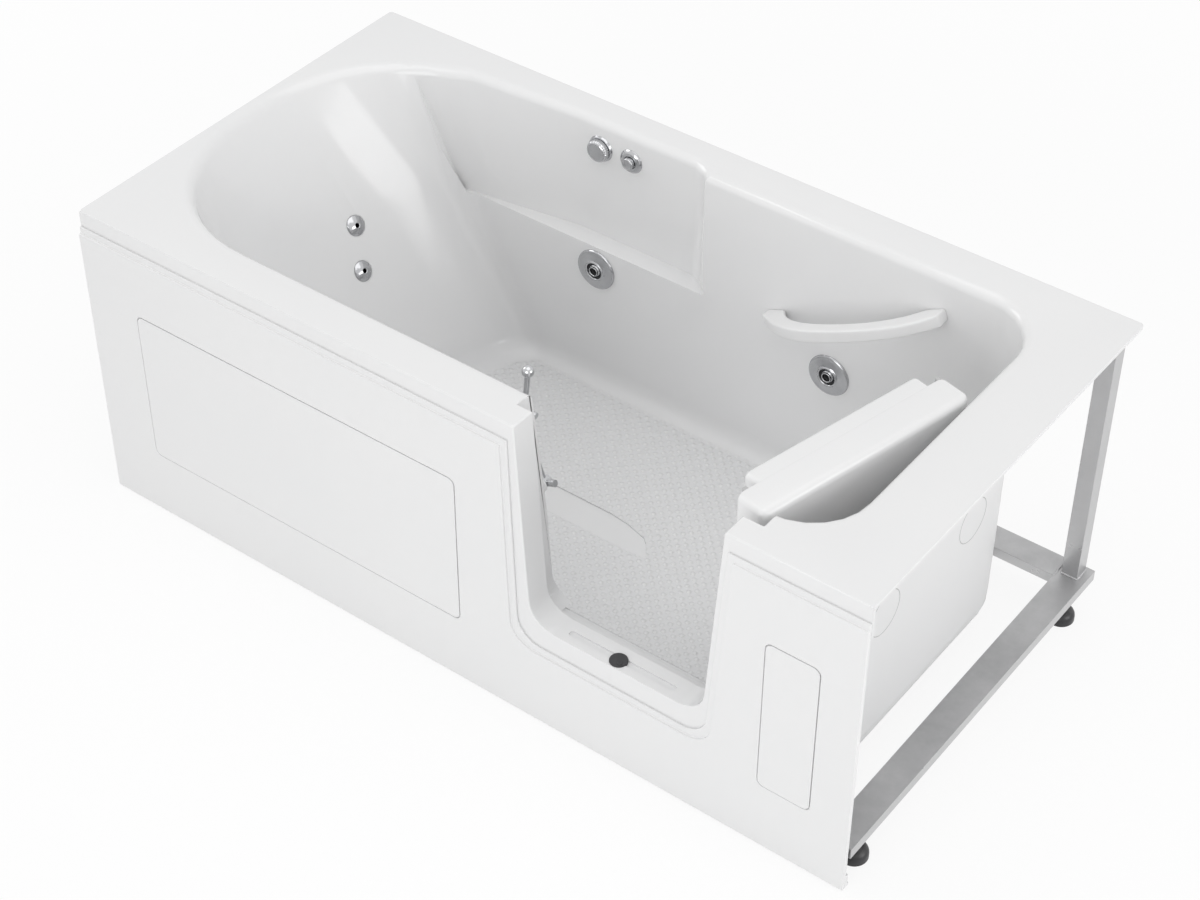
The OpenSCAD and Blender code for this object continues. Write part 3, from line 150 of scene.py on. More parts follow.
def newPiece(name, points, faces, smooth=True, closed=True):
    # one mesh object at the origin, its place in its points (metres)
    mesh = bpy.data.meshes.new(name)
    points = np.asarray(points, dtype=np.float32).reshape(-1, 3)
    faces = [np.atleast_2d(np.asarray(f, dtype=np.int32)) for f in faces]
    loops = np.concatenate([f.reshape(-1) for f in faces])
    sizes = np.concatenate([np.full(len(f), f.shape[1], dtype=np.int32) for f in faces])
    mesh.vertices.add(len(points))
    mesh.vertices.foreach_set("co", points.ravel())
    mesh.loops.add(len(loops))
    mesh.loops.foreach_set("vertex_index", loops)
    mesh.polygons.add(len(sizes))
    mesh.polygons.foreach_set("loop_start", np.concatenate([[0], np.cumsum(sizes)[:-1]]).astype(np.int32))
    mesh.polygons.foreach_set("use_smooth", np.full(len(sizes), smooth))
    mesh.update(calc_edges=True)
    if closed:  # seams and poles merged, then every face turned outwards
        work = bmesh.new()
        work.from_mesh(mesh)
        bmesh.ops.remove_doubles(work, verts=work.verts, dist=joinWithin)
        bmesh.ops.recalc_face_normals(work, faces=work.faces)
        work.to_mesh(mesh)
        work.free()
    mesh.validate()
    piece = bpy.data.objects.new(name, mesh)
    scene.collection.objects.link(piece)
    return piece


def gridFaces(rows, columns, start=0):
    # quads of a rows x columns grid whose last column joins the first
    i = np.arange(rows - 1)[:, None]
    j = np.arange(columns)[None, :]
    a, b = i * columns + j, i * columns + (j + 1) % columns
    return (np.stack([a, b, b + columns, a + columns], axis=-1).reshape(-1, 4) + start).astype(np.int32)


aroundSquare = ((-1, -1), (1, -1), (1, 1), (-1, 1))
floorHalf = studio["floorSize"] / 2
floorCorners = [(x * floorHalf, y * floorHalf, studio["floorLevel"]) for x, y in aroundSquare]
floor = newPiece("studioFloor", floorCorners, [[(0, 1, 2, 3)]], smooth=False, closed=False)


# shared shader groups
def newGroup(name, inputs, outputs):
    # node group with named sockets: (name, kind, default)
    group = bpy.data.node_groups.new(name, "ShaderNodeTree")
    for label, kind, value in inputs:
        socket = group.interface.new_socket(label, in_out="INPUT", socket_type="NodeSocket" + kind)
        if value is not None:
            socket.default_value = value
    for label, kind in outputs:
        group.interface.new_socket(label, in_out="OUTPUT", socket_type="NodeSocket" + kind)
    return group, group.nodes.new("NodeGroupInput"), group.nodes.new("NodeGroupOutput")


# two close colours mixed by broad and fine noise: the small unevenness of a cast or painted skin
toneMix = {"from": 0.32, "to": 0.68, "broadShare": 0.65, "fineShare": 0.35}
toneGroup, gIn, gOut = newGroup("toneVariation",
    [("Vector", "Vector", None), ("ColourA", "Color", (0.8, 0.8, 0.8, 1)), ("ColourB", "Color", (0.7, 0.7, 0.7, 1)),
     ("Scale", "Float", 4.0), ("Fine", "Float", 90.0)], [("Colour", "Color")])
broad = addNode(toneGroup, "TexNoise", Vector=gIn.outputs[0], Scale=gIn.outputs[3], Detail=3.0, Roughness=0.55)
fine = addNode(toneGroup, "TexNoise", Vector=gIn.outputs[0], Scale=gIn.outputs[4], Detail=2.0, Roughness=0.6)
broadPart = remap(toneGroup, broad.outputs[0], toneMix["from"], toneMix["to"], 0.0, toneMix["broadShare"])
share = mathNode(toneGroup, "MULTIPLY_ADD", fine.outputs[0], toneMix["fineShare"], broadPart)
toneGroup.links.new(mixedColour(toneGroup, share, gIn.outputs[1], gIn.outputs[2]), gOut.inputs[0])

# roughness between two values: wiped areas, water marks and faint streaks
wipe = {"from": 0.3, "to": 0.7}
sheenGroup, gIn, gOut = newGroup("sheenVariation",
    [("Vector", "Vector", None), ("Low", "Float", 0.1), ("High", "Float", 0.2), ("Scale", "Float", 7.0)],
    [("Roughness", "Float")])
wiped = addNode(sheenGroup, "TexNoise", Vector=gIn.outputs[0], Scale=gIn.outputs[3], Detail=5.0, Roughness=0.62,
    Distortion=0.6)
rough = remap(sheenGroup, wiped.outputs[0], wipe["from"], wipe["to"], gIn.outputs[1], gIn.outputs[2])
sheenGroup.links.new(rough, gOut.inputs[0])

# height of a moulded or sprayed skin: long waves under a fine peel
peelGroup, gIn, gOut = newGroup("peelHeight",
    [("Vector", "Vector", None), ("Waves", "Float", 30.0), ("Peel", "Float", 420.0), ("WaveShare", "Float", 0.6)],
    [("Height", "Float")])
waves = addNode(peelGroup, "TexNoise", Vector=gIn.outputs[0], Scale=gIn.outputs[1], Detail=1.5)
peel = addNode(peelGroup, "TexNoise", Vector=gIn.outputs[0], Scale=gIn.outputs[2], Detail=2.0)
both = addNode(peelGroup, "Mix", {"data_type": "FLOAT"}, i0=gIn.outputs[3], i2=peel.outputs[0], i3=waves.outputs[0])
peelGroup.links.new(both.outputs[0], gOut.inputs[0])

# mask that is 1 on outer edges, broken up by noise, from the bevelled and the true normal
wear = {"from": 0.985, "to": 0.86, "patchFrom": 0.4, "patchTo": 0.62}
wearGroup, gIn, gOut = newGroup("edgeWear",
    [("Vector", "Vector", None), ("Width", "Float", 0.0015), ("Breakup", "Float", 60.0)], [("Mask", "Float")])
bevelled = addNode(wearGroup, "Bevel", {"samples": 4}, Radius=gIn.outputs[1])
plain = addNode(wearGroup, "NewGeometry")
bent = addNode(wearGroup, "VectorMath", {"operation": "DOT_PRODUCT"}, i0=bevelled.outputs[0],
    i1=plain.outputs["Normal"])
patches = addNode(wearGroup, "TexNoise", Vector=gIn.outputs[0], Scale=gIn.outputs[2], Detail=4.0, Roughness=0.65)
broken = mathNode(wearGroup, "MULTIPLY", remap(wearGroup, bent.outputs["Value"], wear["from"], wear["to"], 0.0, 1.0),
    remap(wearGroup, patches.outputs[0], wear["patchFrom"], wear["patchTo"], 0.0, 1.0))
wearGroup.links.new(broken, gOut.inputs[0])

# mask of faces that look up, thicker in patches: settled dust on most finishes, painted shade on the frame steel's
# tops under the deck
settling = {"from": 0.55, "to": 0.95, "patchFrom": 0.35, "patchTo": 0.75, "thinnest": 0.1}
dustAndShadeGroup, gIn, gOut = newGroup("settledDustAndShade",
    [("Vector", "Vector", None), ("Scale", "Float", 25.0)], [("Mask", "Float")])
facing = addNode(dustAndShadeGroup, "SeparateXYZ", i0=addNode(dustAndShadeGroup, "NewGeometry").outputs["Normal"])
patches = addNode(dustAndShadeGroup, "TexNoise", Vector=gIn.outputs[0], Scale=gIn.outputs[1], Detail=6.0, Roughness=0.7)
lying = mathNode(dustAndShadeGroup, "MULTIPLY",
    remap(dustAndShadeGroup, facing.outputs[2], settling["from"], settling["to"], 0.0, 1.0),
    remap(dustAndShadeGroup, patches.outputs[0], settling["patchFrom"], settling["patchTo"], settling["thinnest"], 1.0))
dustAndShadeGroup.links.new(lying, gOut.inputs[0])
print("shader groups built")


# materials, one for each finish in the record
plainFinish = {  # what a finish has where it says nothing else
    "toneScale": 4.0, "toneFine": 90.0, "sheenScale": 7.0, "waves": 30.0, "peel": 420.0, "waveShare": 0.6,
    "bump": 0.3, "depth": 0.0001, "metallic": 0.0, "ior": 1.49, "coat": 0.0, "coatRough": 0.05,
    "dustColour": (0.55, 0.54, 0.52), "dustRough": 0.5,
}


def newMaterial(name, ownFacts):
    # Principled shader on Object coordinates: tone, sheen and peel from the shared groups
    facts = {**plainFinish, **ownFacts}
    material = bpy.data.materials.new(name)
    material.use_nodes = True
    tree = material.node_tree
    tree.nodes.clear()
    spot = addNode(tree, "TexCoord").outputs["Object"]
    tone = addNode(tree, "Group", {"node_tree": toneGroup}, Vector=spot, ColourA=(*facts["colour"], 1),
        ColourB=(*facts["colourB"], 1), Scale=facts["toneScale"], Fine=facts["toneFine"])
    sheen = addNode(tree, "Group", {"node_tree": sheenGroup}, Vector=spot, Low=facts["rough"][0],
        High=facts["rough"][1], Scale=facts["sheenScale"])
    peel = addNode(tree, "Group", {"node_tree": peelGroup}, Vector=spot, Waves=facts["waves"], Peel=facts["peel"],
        WaveShare=facts["waveShare"])
    bump = addNode(tree, "Bump", Strength=facts["bump"], Distance=facts["depth"], Height=peel.outputs[0])
    colour, rough = tone.outputs[0], sheen.outputs[0]
    if "wear" in facts:
        worn = addNode(tree, "Group", {"node_tree": wearGroup}, Vector=spot, Width=facts["wear"]["width"])
        colour = mixedColour(tree, worn.outputs[0], colour, (*facts["wear"]["colour"], 1))
    # faces that look up: light dust on most finishes; the frame steel's dark colour here is painted shade from the
    # deck above
    if "dustAndTopShade" in facts:
        dustAndTopShade = addNode(tree, "Group", {"node_tree": dustAndShadeGroup}, Vector=spot, Scale=facts["dustAndTopShade"]["scale"])
        thin = mathNode(tree, "MULTIPLY", dustAndTopShade.outputs[0], facts["dustAndTopShade"]["share"])
        colour = mixedColour(tree, thin, colour, (*facts["dustAndTopShade"].get("colour", facts["dustColour"]), 1))
        rough = addNode(tree, "Math", {"operation": "MULTIPLY_ADD", "use_clamp": True}, i0=thin,
            i1=facts["dustRough"], i2=rough).outputs[0]
    skin = addNode(tree, "BsdfPrincipled", Roughness=rough, Normal=bump.outputs[0], Metallic=facts["metallic"],
        IOR=facts["ior"], **{"Base Color": colour, "Coat Weight": facts["coat"], "Coat Roughness": facts["coatRough"]})
    addNode(tree, "OutputMaterial", Surface=skin.outputs[0])
    return material, tree, skin, spot, bump


finishes = {
    "white_acrylic": {"colour": (0.80, 0.80, 0.80), "colourB": (0.775, 0.777, 0.782), "rough": (0.10, 0.19),
        "toneScale": 2.2, "coat": 0.25, "waves": 8.0, "peel": 140.0, "waveShare": 0.96, "bump": 0.14, "depth": 0.0004},
    "apron_white": {"colour": (0.80, 0.80, 0.80), "colourB": (0.785, 0.787, 0.79), "rough": (0.29, 0.33),
        "toneScale": 2.6, "toneFine": 9.0, "sheenScale": 2.0, "waves": 5.0, "peel": 24.0, "waveShare": 0.8,
        "bump": 0.12, "depth": 0.0003},
    "door_white": {"colour": (0.80, 0.80, 0.80), "colourB": (0.78, 0.781, 0.785), "rough": (0.16, 0.26),
        "toneScale": 5.0, "coat": 0.15, "waves": 12.0, "peel": 160.0, "waveShare": 0.9, "bump": 0.2, "depth": 0.0003},
    "white_plastic": {"colour": (0.80, 0.80, 0.80), "colourB": (0.785, 0.785, 0.787), "rough": (0.28, 0.32),
        "toneScale": 12.0, "toneFine": 40.0, "sheenScale": 3.0, "waves": 20.0, "peel": 200.0, "bump": 0.1,
        "depth": 0.0001},
    "chrome": {"colour": (0.56, 0.565, 0.575), "colourB": (0.48, 0.485, 0.50), "rough": (0.06, 0.14), "metallic": 1.0,
        "toneScale": 30.0, "sheenScale": 45.0, "waves": 80.0, "peel": 900.0, "bump": 0.12, "depth": 0.00005},
    # the frame steel's dark colour on faces that look up is painted shade from the deck overhead, not dust
    "frame_steel": {"colour": (0.57, 0.57, 0.575), "colourB": (0.51, 0.51, 0.515), "rough": (0.26, 0.38),
        "metallic": 0.75, "toneScale": 9.0, "waves": 60.0, "peel": 1400.0, "waveShare": 0.3, "bump": 0.4,
        "depth": 0.0002, "wear": {"width": 0.002, "colour": (0.5, 0.5, 0.5)},
        "dustAndTopShade": {"scale": 2.5, "share": 0.7, "colour": (0.24, 0.24, 0.245)}},
    "zinc_hardware": {"colour": (0.56, 0.57, 0.58), "colourB": (0.43, 0.44, 0.46), "rough": (0.24, 0.42),
        "metallic": 1.0, "toneScale": 40.0, "toneFine": 700.0, "sheenScale": 60.0, "peel": 1500.0, "bump": 0.3,
        "depth": 0.0001},
    "seal_rubber": {"colour": (0.52, 0.52, 0.52), "colourB": (0.46, 0.46, 0.46), "rough": (0.6, 0.75),
        "toneScale": 20.0, "peel": 1800.0, "bump": 0.5, "depth": 0.0001},
    "plug_rubber": {"colour": (0.028, 0.028, 0.031), "colourB": (0.045, 0.045, 0.048), "rough": (0.45, 0.65),
        "toneScale": 60.0, "toneFine": 600.0, "peel": 1800.0, "bump": 0.5, "depth": 0.0001},
    "fitting_plastic": {"colour": (0.52, 0.53, 0.53), "colourB": (0.47, 0.48, 0.48), "rough": (0.38, 0.52),
        "toneScale": 25.0, "peel": 1200.0, "bump": 0.4, "depth": 0.00012},
    "foot_black": {"colour": (0.018, 0.018, 0.02), "colourB": (0.03, 0.03, 0.033), "rough": (0.28, 0.44),
        "toneScale": 50.0, "peel": 1100.0, "bump": 0.35, "depth": 0.00012,
        "wear": {"width": 0.001, "colour": (0.12, 0.12, 0.12)}, "dustAndTopShade": {"scale": 60.0, "share": 0.12}},
    "shelf_board": {"colour": (0.50, 0.38, 0.25), "colourB": (0.40, 0.29, 0.18), "rough": (0.55, 0.72),
        "toneScale": 9.0, "toneFine": 160.0, "peel": 700.0, "bump": 0.6, "depth": 0.0004,
        "dustAndTopShade": {"scale": 30.0, "share": 0.35}},
    "motor_metal": {"colour": (0.055, 0.06, 0.066), "colourB": (0.075, 0.08, 0.086), "rough": (0.36, 0.52),
        "toneScale": 14.0, "peel": 900.0, "bump": 0.5, "depth": 0.0002,
        "wear": {"width": 0.0012, "colour": (0.2, 0.2, 0.2)}, "dustAndTopShade": {"scale": 40.0, "share": 0.3}},
    "pump_plastic": {"colour": (0.022, 0.022, 0.024), "colourB": (0.035, 0.035, 0.037), "rough": (0.38, 0.52),
        "toneScale": 22.0, "peel": 1300.0, "bump": 0.4, "depth": 0.00015, "dustAndTopShade": {"scale": 45.0, "share": 0.25}},
    "pipe_plastic": {"colour": (0.72, 0.72, 0.69), "colourB": (0.67, 0.67, 0.64), "rough": (0.3, 0.42),
        "toneScale": 10.0, "peel": 600.0, "bump": 0.25, "depth": 0.00015, "dustAndTopShade": {"scale": 40.0, "share": 0.2}},
    "hose_rubber": {"colour": (0.05, 0.05, 0.052), "colourB": (0.07, 0.07, 0.072), "rough": (0.42, 0.6),
        "toneScale": 30.0, "peel": 1400.0, "bump": 0.4, "depth": 0.00015},
}
built = {slotName: newMaterial(slotName, facts) for slotName, facts in finishes.items()}
materials = {slotName: results[0] for slotName, results in built.items()}

# raised anti-slip pads on the basin floor: a diamond lattice, heights from two crossed cosines; the hollows between
# them are darkened as painted shade
pads = {"cell": 0.020, "height": 0.0012, "shade": (0.70, 0.702, 0.708), "paintedShadeShare": 0.4, "low": -0.2, "high": 1.7,
    "level": 0.064, "startBelow": (0.0008, 0.0003), "endAbove": (0.0006, 0.0016)}
_, tree, skin, spot, bump = built["white_acrylic"]
xyz = addNode(tree, "SeparateXYZ", i0=spot)
turn = 2 * math.pi / pads["cell"]


def crossed(operation):
    # cosine of the sum or the difference of x and y
    along = mathNode(tree, operation, xyz.outputs[1], xyz.outputs[0])
    return mathNode(tree, "COSINE", mathNode(tree, "MULTIPLY", along, turn))


lattice = mathNode(tree, "ADD", crossed("ADD"), crossed("SUBTRACT"))
domes = addNode(tree, "MapRange", {"interpolation_type": "SMOOTHSTEP"}, i0=lattice, i1=pads["low"], i2=pads["high"],
    i3=0.0, i4=1.0).outputs[0]
aboveTray = remap(tree, xyz.outputs[2], *(pads["level"] - step for step in pads["startBelow"]), 0.0, 1.0)
belowFillet = remap(tree, xyz.outputs[2], *(pads["level"] + step for step in pads["endAbove"]), 1.0, 0.0)
floorMask = mathNode(tree, "MULTIPLY", aboveTray, belowFillet)
padHeight = mathNode(tree, "MULTIPLY", domes, floorMask)
# painted shade: the floor colour darkens in the hollows between the pads, where shade falls
paintedHollowShade = mathNode(tree, "MULTIPLY", mathNode(tree, "SUBTRACT", floorMask, padHeight), pads["paintedShadeShare"])
skinTone = skin.inputs["Base Color"].links[0].from_socket
tree.links.new(mixedColour(tree, paintedHollowShade, skinTone, (*pads["shade"], 1)), skin.inputs["Base Color"])
padBump = addNode(tree, "Bump", Strength=1.0, Distance=pads["height"], Height=padHeight, Normal=bump.outputs[0])
tree.links.new(padBump.outputs[0], skin.inputs["Normal"])

# the outer side of the shell is the matt back of the laminate: its normal points away from the basin
laminate = {"rough": 0.5, "from": 0.20, "to": 0.25}
away = addNode(tree, "VectorMath", {"operation": "MULTIPLY"}, i0=addNode(tree, "NewGeometry").outputs["Normal"],
    i1=spot)
awayParts = addNode(tree, "SeparateXYZ", i0=away.outputs["Vector"])
behind = mathNode(tree, "GREATER_THAN", xyz.outputs[1], 0.0)
awaySum = mathNode(tree, "ADD", awayParts.outputs[0], mathNode(tree, "MULTIPLY", behind, awayParts.outputs[1]))
matt = remap(tree, awaySum, laminate["from"], laminate["to"], 0.0, 1.0)
gloss = skin.inputs["Roughness"].links[0].from_socket
mixedSheen = addNode(tree, "Mix", {"data_type": "FLOAT"}, i0=matt, i2=gloss, i3=laminate["rough"])
tree.links.new(mixedSheen.outputs[0], skin.inputs["Roughness"])
tree.links.new(remap(tree, matt, 0.0, 1.0, finishes["white_acrylic"]["coat"], 0.0), skin.inputs["Coat Weight"])
print("materials built:", len(materials))

# floor: white to the camera and to mirrors, with the object's shadow kept in its lit share
floorMaterial = bpy.data.materials.new("studioFloor")
floorMaterial.use_nodes = True
tree = floorMaterial.node_tree
tree.nodes.clear()
paper = addNode(tree, "BsdfDiffuse", Color=(studio["floorGrey"],) * 3 + (1,))
glow = addNode(tree, "Emission", Color=(1, 1, 1, 1), Strength=1.0)
reach = addNode(tree, "VectorMath", {"operation": "LENGTH"}, i0=addNode(tree, "TexCoord").outputs["Object"])
plain = remap(tree, reach.outputs["Value"], *studio["shadowReach"], 1 - studio["shadowShare"], 1.0)
amount = mathNode(tree, "MULTIPLY", seenDirect(tree), plain)
blend = addNode(tree, "MixShader", i0=amount, i1=paper.outputs[0], i2=glow.outputs[0])
clear = addNode(tree, "BsdfTransparent")  # seen from below the floor is clear, so the underside shows
back = addNode(tree, "NewGeometry").outputs["Backfacing"]
sided = addNode(tree, "MixShader", i0=back, i1=blend.outputs[0], i2=clear.outputs[0])
addNode(tree, "OutputMaterial", Surface=sided.outputs[0])
floor.data.materials.append(floorMaterial)


# CAD nodes that stay: joined, softened at their edges and shaded smooth
softening = {
    "join": 0.00002, "radius": 0.0006,  # metres
    "angle": 32.0, "newPieceAngle": 40.0, "flatWithin": 0.4,  # degrees
    "segments": 3,
}


def newGeometryGroup(name, inputs):
    # geometry group with named inputs (name, kind) after its geometry, and its input sockets by name
    group = bpy.data.node_groups.new(name, "GeometryNodeTree")
    sockets = {}
    for label, kind in (("Geometry", "Geometry"), *inputs):
        sockets[label] = group.interface.new_socket(label, in_out="INPUT", socket_type="NodeSocket" + kind)
    group.interface.new_socket("Geometry", in_out="OUTPUT", socket_type="NodeSocketGeometry")
    return group, sockets, group.nodes.new("NodeGroupInput"), group.nodes.new("NodeGroupOutput")


def compared(group, first, second, operation="GREATER_THAN"):
    # one compare node on two number sockets
    return addNode(group, "Compare", {"operation": operation}, "FunctionNode", i0=first, i1=second).outputs[0]


def combined(first, second, operation="AND"):
    # one boolean node on two tests
    return addNode(pickGroup, "BooleanMath", {"operation": operation}, "FunctionNode", i0=first, i1=second).outputs[0]


smoothGroup, smoothSockets, sIn, sOut = newGeometryGroup("mergeAndSmooth", [("Angle", "Float")])
merged = addNode(smoothGroup, "MergeByDistance", None, "GeometryNode", i0=sIn.outputs[0], Distance=softening["join"])
faceSmooth = addNode(smoothGroup, "SetShadeSmooth", None, "GeometryNode", i0=merged.outputs[0])
bend = addNode(smoothGroup, "InputMeshEdgeAngle", None, "GeometryNode")
edgeSharp = addNode(smoothGroup, "SetShadeSmooth", {"domain": "EDGE"}, "GeometryNode", i0=faceSmooth.outputs[0],
    Selection=compared(smoothGroup, bend.outputs["Unsigned Angle"], sIn.outputs[1]), **{"Shade Smooth": False})
smoothGroup.links.new(edgeSharp.outputs[0], sOut.inputs[0])

# which edges of a large shell are rounded: sharp, longer than a limit, and inside a box or above a level
pickGroup, pickSockets, pIn, pOut = newGeometryGroup("pickLongEdges", [("Angle", "Float"), ("Length", "Float"),
    ("Low", "Vector"), ("High", "Vector"), ("Level", "Float"), ("Least", "Float")])
ends = addNode(pickGroup, "InputMeshEdgeVertices", None, "GeometryNode")
span = addNode(pickGroup, "VectorMath", {"operation": "DISTANCE"}, i0=ends.outputs["Position 1"],
    i1=ends.outputs["Position 2"])
fold = addNode(pickGroup, "InputMeshEdgeAngle", None, "GeometryNode")
middle = addNode(pickGroup, "InputPosition", None, "GeometryNode")
where = addNode(pickGroup, "SeparateXYZ", i0=middle.outputs[0])
longFold = combined(compared(pickGroup, fold.outputs["Unsigned Angle"], pIn.outputs["Angle"]),
    compared(pickGroup, span.outputs["Value"], pIn.outputs["Length"]))
boxTests = []
for label, operation in (("Low", "GREATER_THAN"), ("High", "LESS_THAN")):
    bound = addNode(pickGroup, "SeparateXYZ", i0=pIn.outputs[label])
    boxTests += [compared(pickGroup, where.outputs[k], bound.outputs[k], operation) for k in range(3)]
inside = boxTests[0]
for test in boxTests[1:]:
    inside = combined(inside, test)
high = compared(pickGroup, where.outputs[2], pIn.outputs["Level"])
chosen = combined(longFold, combined(inside, high, "OR"))

# bevel weight: 1 above the level; in front of the doorway's step it grows with height above the sill; least elsewhere
doorway = {"sill": 0.206, "fullAt": 0.250, "step": -0.350}
rise = remap(pickGroup, where.outputs[2], doorway["sill"], doorway["fullAt"], 0.0, 1.0)
front = mathNode(pickGroup, "LESS_THAN", where.outputs[1], doorway["step"])
above = mathNode(pickGroup, "GREATER_THAN", where.outputs[2], pIn.outputs["Level"])
full = mathNode(pickGroup, "MAXIMUM", mathNode(pickGroup, "MULTIPLY", rise, front), above)
store = addNode(pickGroup, "StoreNamedAttribute", {"data_type": "FLOAT", "domain": "EDGE"}, "GeometryNode",
    Geometry=pIn.outputs["Geometry"], Selection=chosen, Name="bevel_weight_edge",
    Value=remap(pickGroup, full, 0.0, 1.0, pIn.outputs["Least"], 1.0))
pickGroup.links.new(store.outputs[0], pOut.inputs[0])
pickedEdges = {
    "tub_shell": {"length": 0.003, "low": (0.105, -0.3915, 0.2055), "high": (0.556, -0.290, 0.5915), "level": 0.5915,
        "least": 0.28, "clamp": False},
    "front_apron": {"length": 0.0025, "low": (-9, -9, -9), "high": (9, 9, 9), "level": 9.0,
        "least": 1.0, "clamp": True},
}


def finishNode(name, slotName, radius):
    # a kept CAD node: merged, edges rounded by radius, its record slot's material
    piece = nodes[name]
    angle = math.radians(softening["angle"])
    piece.data.materials.clear()
    piece.data.materials.append(materials[slotName])
    join = piece.modifiers.new("merge", "NODES")
    join.node_group = smoothGroup
    join[smoothSockets["Angle"].identifier] = angle
    flat = piece.modifiers.new("flatFaces", "DECIMATE")  # flat faces lose their inner edges first
    flat.decimate_type, flat.angle_limit = "DISSOLVE", math.radians(softening["flatWithin"])
    picked = pickedEdges.get(name)
    if picked:
        pick = piece.modifiers.new("pickEdges", "NODES")
        pick.node_group = pickGroup
        pick[pickSockets["Angle"].identifier] = angle
        for label in ("Length", "Low", "High", "Level", "Least"):
            pick[pickSockets[label].identifier] = picked[label.lower()]
    soft = piece.modifiers.new("edges", "BEVEL")
    soft.width, soft.segments, soft.angle_limit = radius, softening["segments"], angle
    soft.limit_method = "WEIGHT" if picked else "ANGLE"
    soft.use_clamp_overlap = picked["clamp"] if picked else True
    soft.harden_normals = True
    soft.miter_outer = "MITER_ARC"


# pieces worked out as surfaces; those that stand for a CAD node hide it
def ringSurface(name, rings):
    # closed surface through rings of equally many points, first to last, both ends filled
    rings = np.asarray(rings, dtype=float)
    count, sides = rings.shape[:2]
    ends = [np.arange(sides)[None, ::-1], np.arange(sides)[None, :] + (count - 1) * sides]
    return newPiece(name, rings, [gridFaces(count, sides), *ends])


def softened(profile, radius, steps=4, most=0.45):
    # each inner corner of a polyline becomes a quadratic curve that starts radius before it, or at the share
    # most of a short side
    points = np.asarray(profile, dtype=float)
    before, corner, after = points[:-2], points[1:-1], points[2:]
    toBefore, toAfter = before - corner, after - corner
    lengthA = np.linalg.norm(toBefore, axis=1, keepdims=True)
    lengthB = np.linalg.norm(toAfter, axis=1, keepdims=True)
    cutA = toBefore / lengthA * np.minimum(radius, lengthA * most)
    cutB = toAfter / lengthB * np.minimum(radius, lengthB * most)
    t = np.linspace(0, 1, steps + 1)[:, None, None]
    curve = corner + (1 - t) ** 2 * cutA + t ** 2 * cutB
    return np.concatenate([points[:1], curve.transpose(1, 0, 2).reshape(-1, points.shape[1]), points[-1:]])


def turned(name, profile, centre, axis, sides, waves=0, waveDepth=0.0, waveFrom=0.0):
    # profile of (radius, height) turned about axis; radius grows by waveDepth * cos(waves * angle) past waveFrom
    axis = np.asarray(axis, dtype=float)
    axis /= np.linalg.norm(axis)
    across = np.cross(axis, (0.0, 0.0, 1.0) if abs(axis[2]) < 0.9 else (1.0, 0.0, 0.0))
    across /= np.linalg.norm(across)
    along = np.cross(axis, across)
    angle = np.arange(sides) * 2 * math.pi / sides
    profile = np.asarray(profile, dtype=float)
    radius = profile[:, 0, None] + waveDepth * np.cos(waves * angle) * (profile[:, 0, None] > waveFrom)
    points = (np.asarray(centre) + profile[:, 1, None, None] * axis
        + radius[:, :, None] * (np.cos(angle)[None, :, None] * across + np.sin(angle)[None, :, None] * along))
    if profile[0, 0] > 1e-6 and profile[-1, 0] > 1e-6:  # a ring with a hole: the last row joins the first
        points = np.concatenate([points, points[:1]])
    return newPiece(name, points, [gridFaces(len(points), sides)])


def dress(piece, slotName, body, *stoodFor):
    # shading smooth below an angle, material, the body it rides on, and the nodes that the piece stands for hidden
    piece.data.materials.append(materials[slotName])
    join = piece.modifiers.new("merge", "NODES")
    join.node_group = smoothGroup
    join[smoothSockets["Angle"].identifier] = math.radians(softening["newPieceAngle"])
    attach(piece, body)
    if stoodFor:
        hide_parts(*stoodFor)


def roundedLoop(corners, radii, steps):
    # closed outline: each corner becomes an arc of its radius, found from the half angle between its sides
    corners = np.asarray(corners, dtype=float)
    radii = np.asarray(radii, dtype=float)[:, None]
    toBefore = np.roll(corners, 1, axis=0) - corners
    toAfter = np.roll(corners, -1, axis=0) - corners
    toBefore /= np.linalg.norm(toBefore, axis=1, keepdims=True)
    toAfter /= np.linalg.norm(toAfter, axis=1, keepdims=True)
    half = np.arccos(np.clip((toBefore * toAfter).sum(axis=1, keepdims=True), -1, 1)) / 2
    straight = half > math.radians(89.0)  # such a corner stays a short line
    cut = np.where(straight, 1.0, radii / np.tan(np.minimum(half, 1.5)))
    t = np.linspace(0, 1, steps + 1)[None, :, None]
    start, end = (corners + toBefore * cut)[:, None], (corners + toAfter * cut)[:, None]
    middle = toBefore + toAfter
    middle /= np.maximum(np.linalg.norm(middle, axis=1, keepdims=True), 1e-9)
    centre = (corners + middle * radii / np.sin(half))[:, None]
    sweep = np.maximum(math.pi - 2 * half, 1e-6)[:, None]
    arc = centre + (np.sin((1 - t) * sweep) * (start - centre) + np.sin(t * sweep) * (end - centre)) / np.sin(sweep)
    return np.where(straight[:, None], (1 - t) * start + t * end, arc).reshape(-1, 2)


# door leaf: two rounded layers, the wide one inside, drawn closed and turned open about its pins
door = {
    "pivot": (521.6, -296.7), "open": 103.5,  # millimetres and degrees
    "flange": {"left": 122.1, "right": 542.0, "bottom": 183.0, "slopes": (0.066, 0.0)},
    "body": {"left": 152.0, "right": 502.0, "bottom": 215.0, "slopes": (0.066, 0.066)},
    "deck": 592.0, "top": 590.0, "corner": 48.0, "topCorner": 9.0,
    "front": -364.2, "split": -332.2, "inner": -275.2,
    "frontRound": 10.0, "splitRound": 6.0, "innerRound": 13.0,
    "rim": 2.5, "layerStep": 0.05, "arcPoints": 7, "cornerSteps": 6,
    "notches": (260.0, 500.0), "notchHalf": 20.0, "notchEdge": 505.6, "notchRound": 1.5,
    "notchEase": 2.0, "notchCreep": 0.05, "plainShare": 0.2,
}


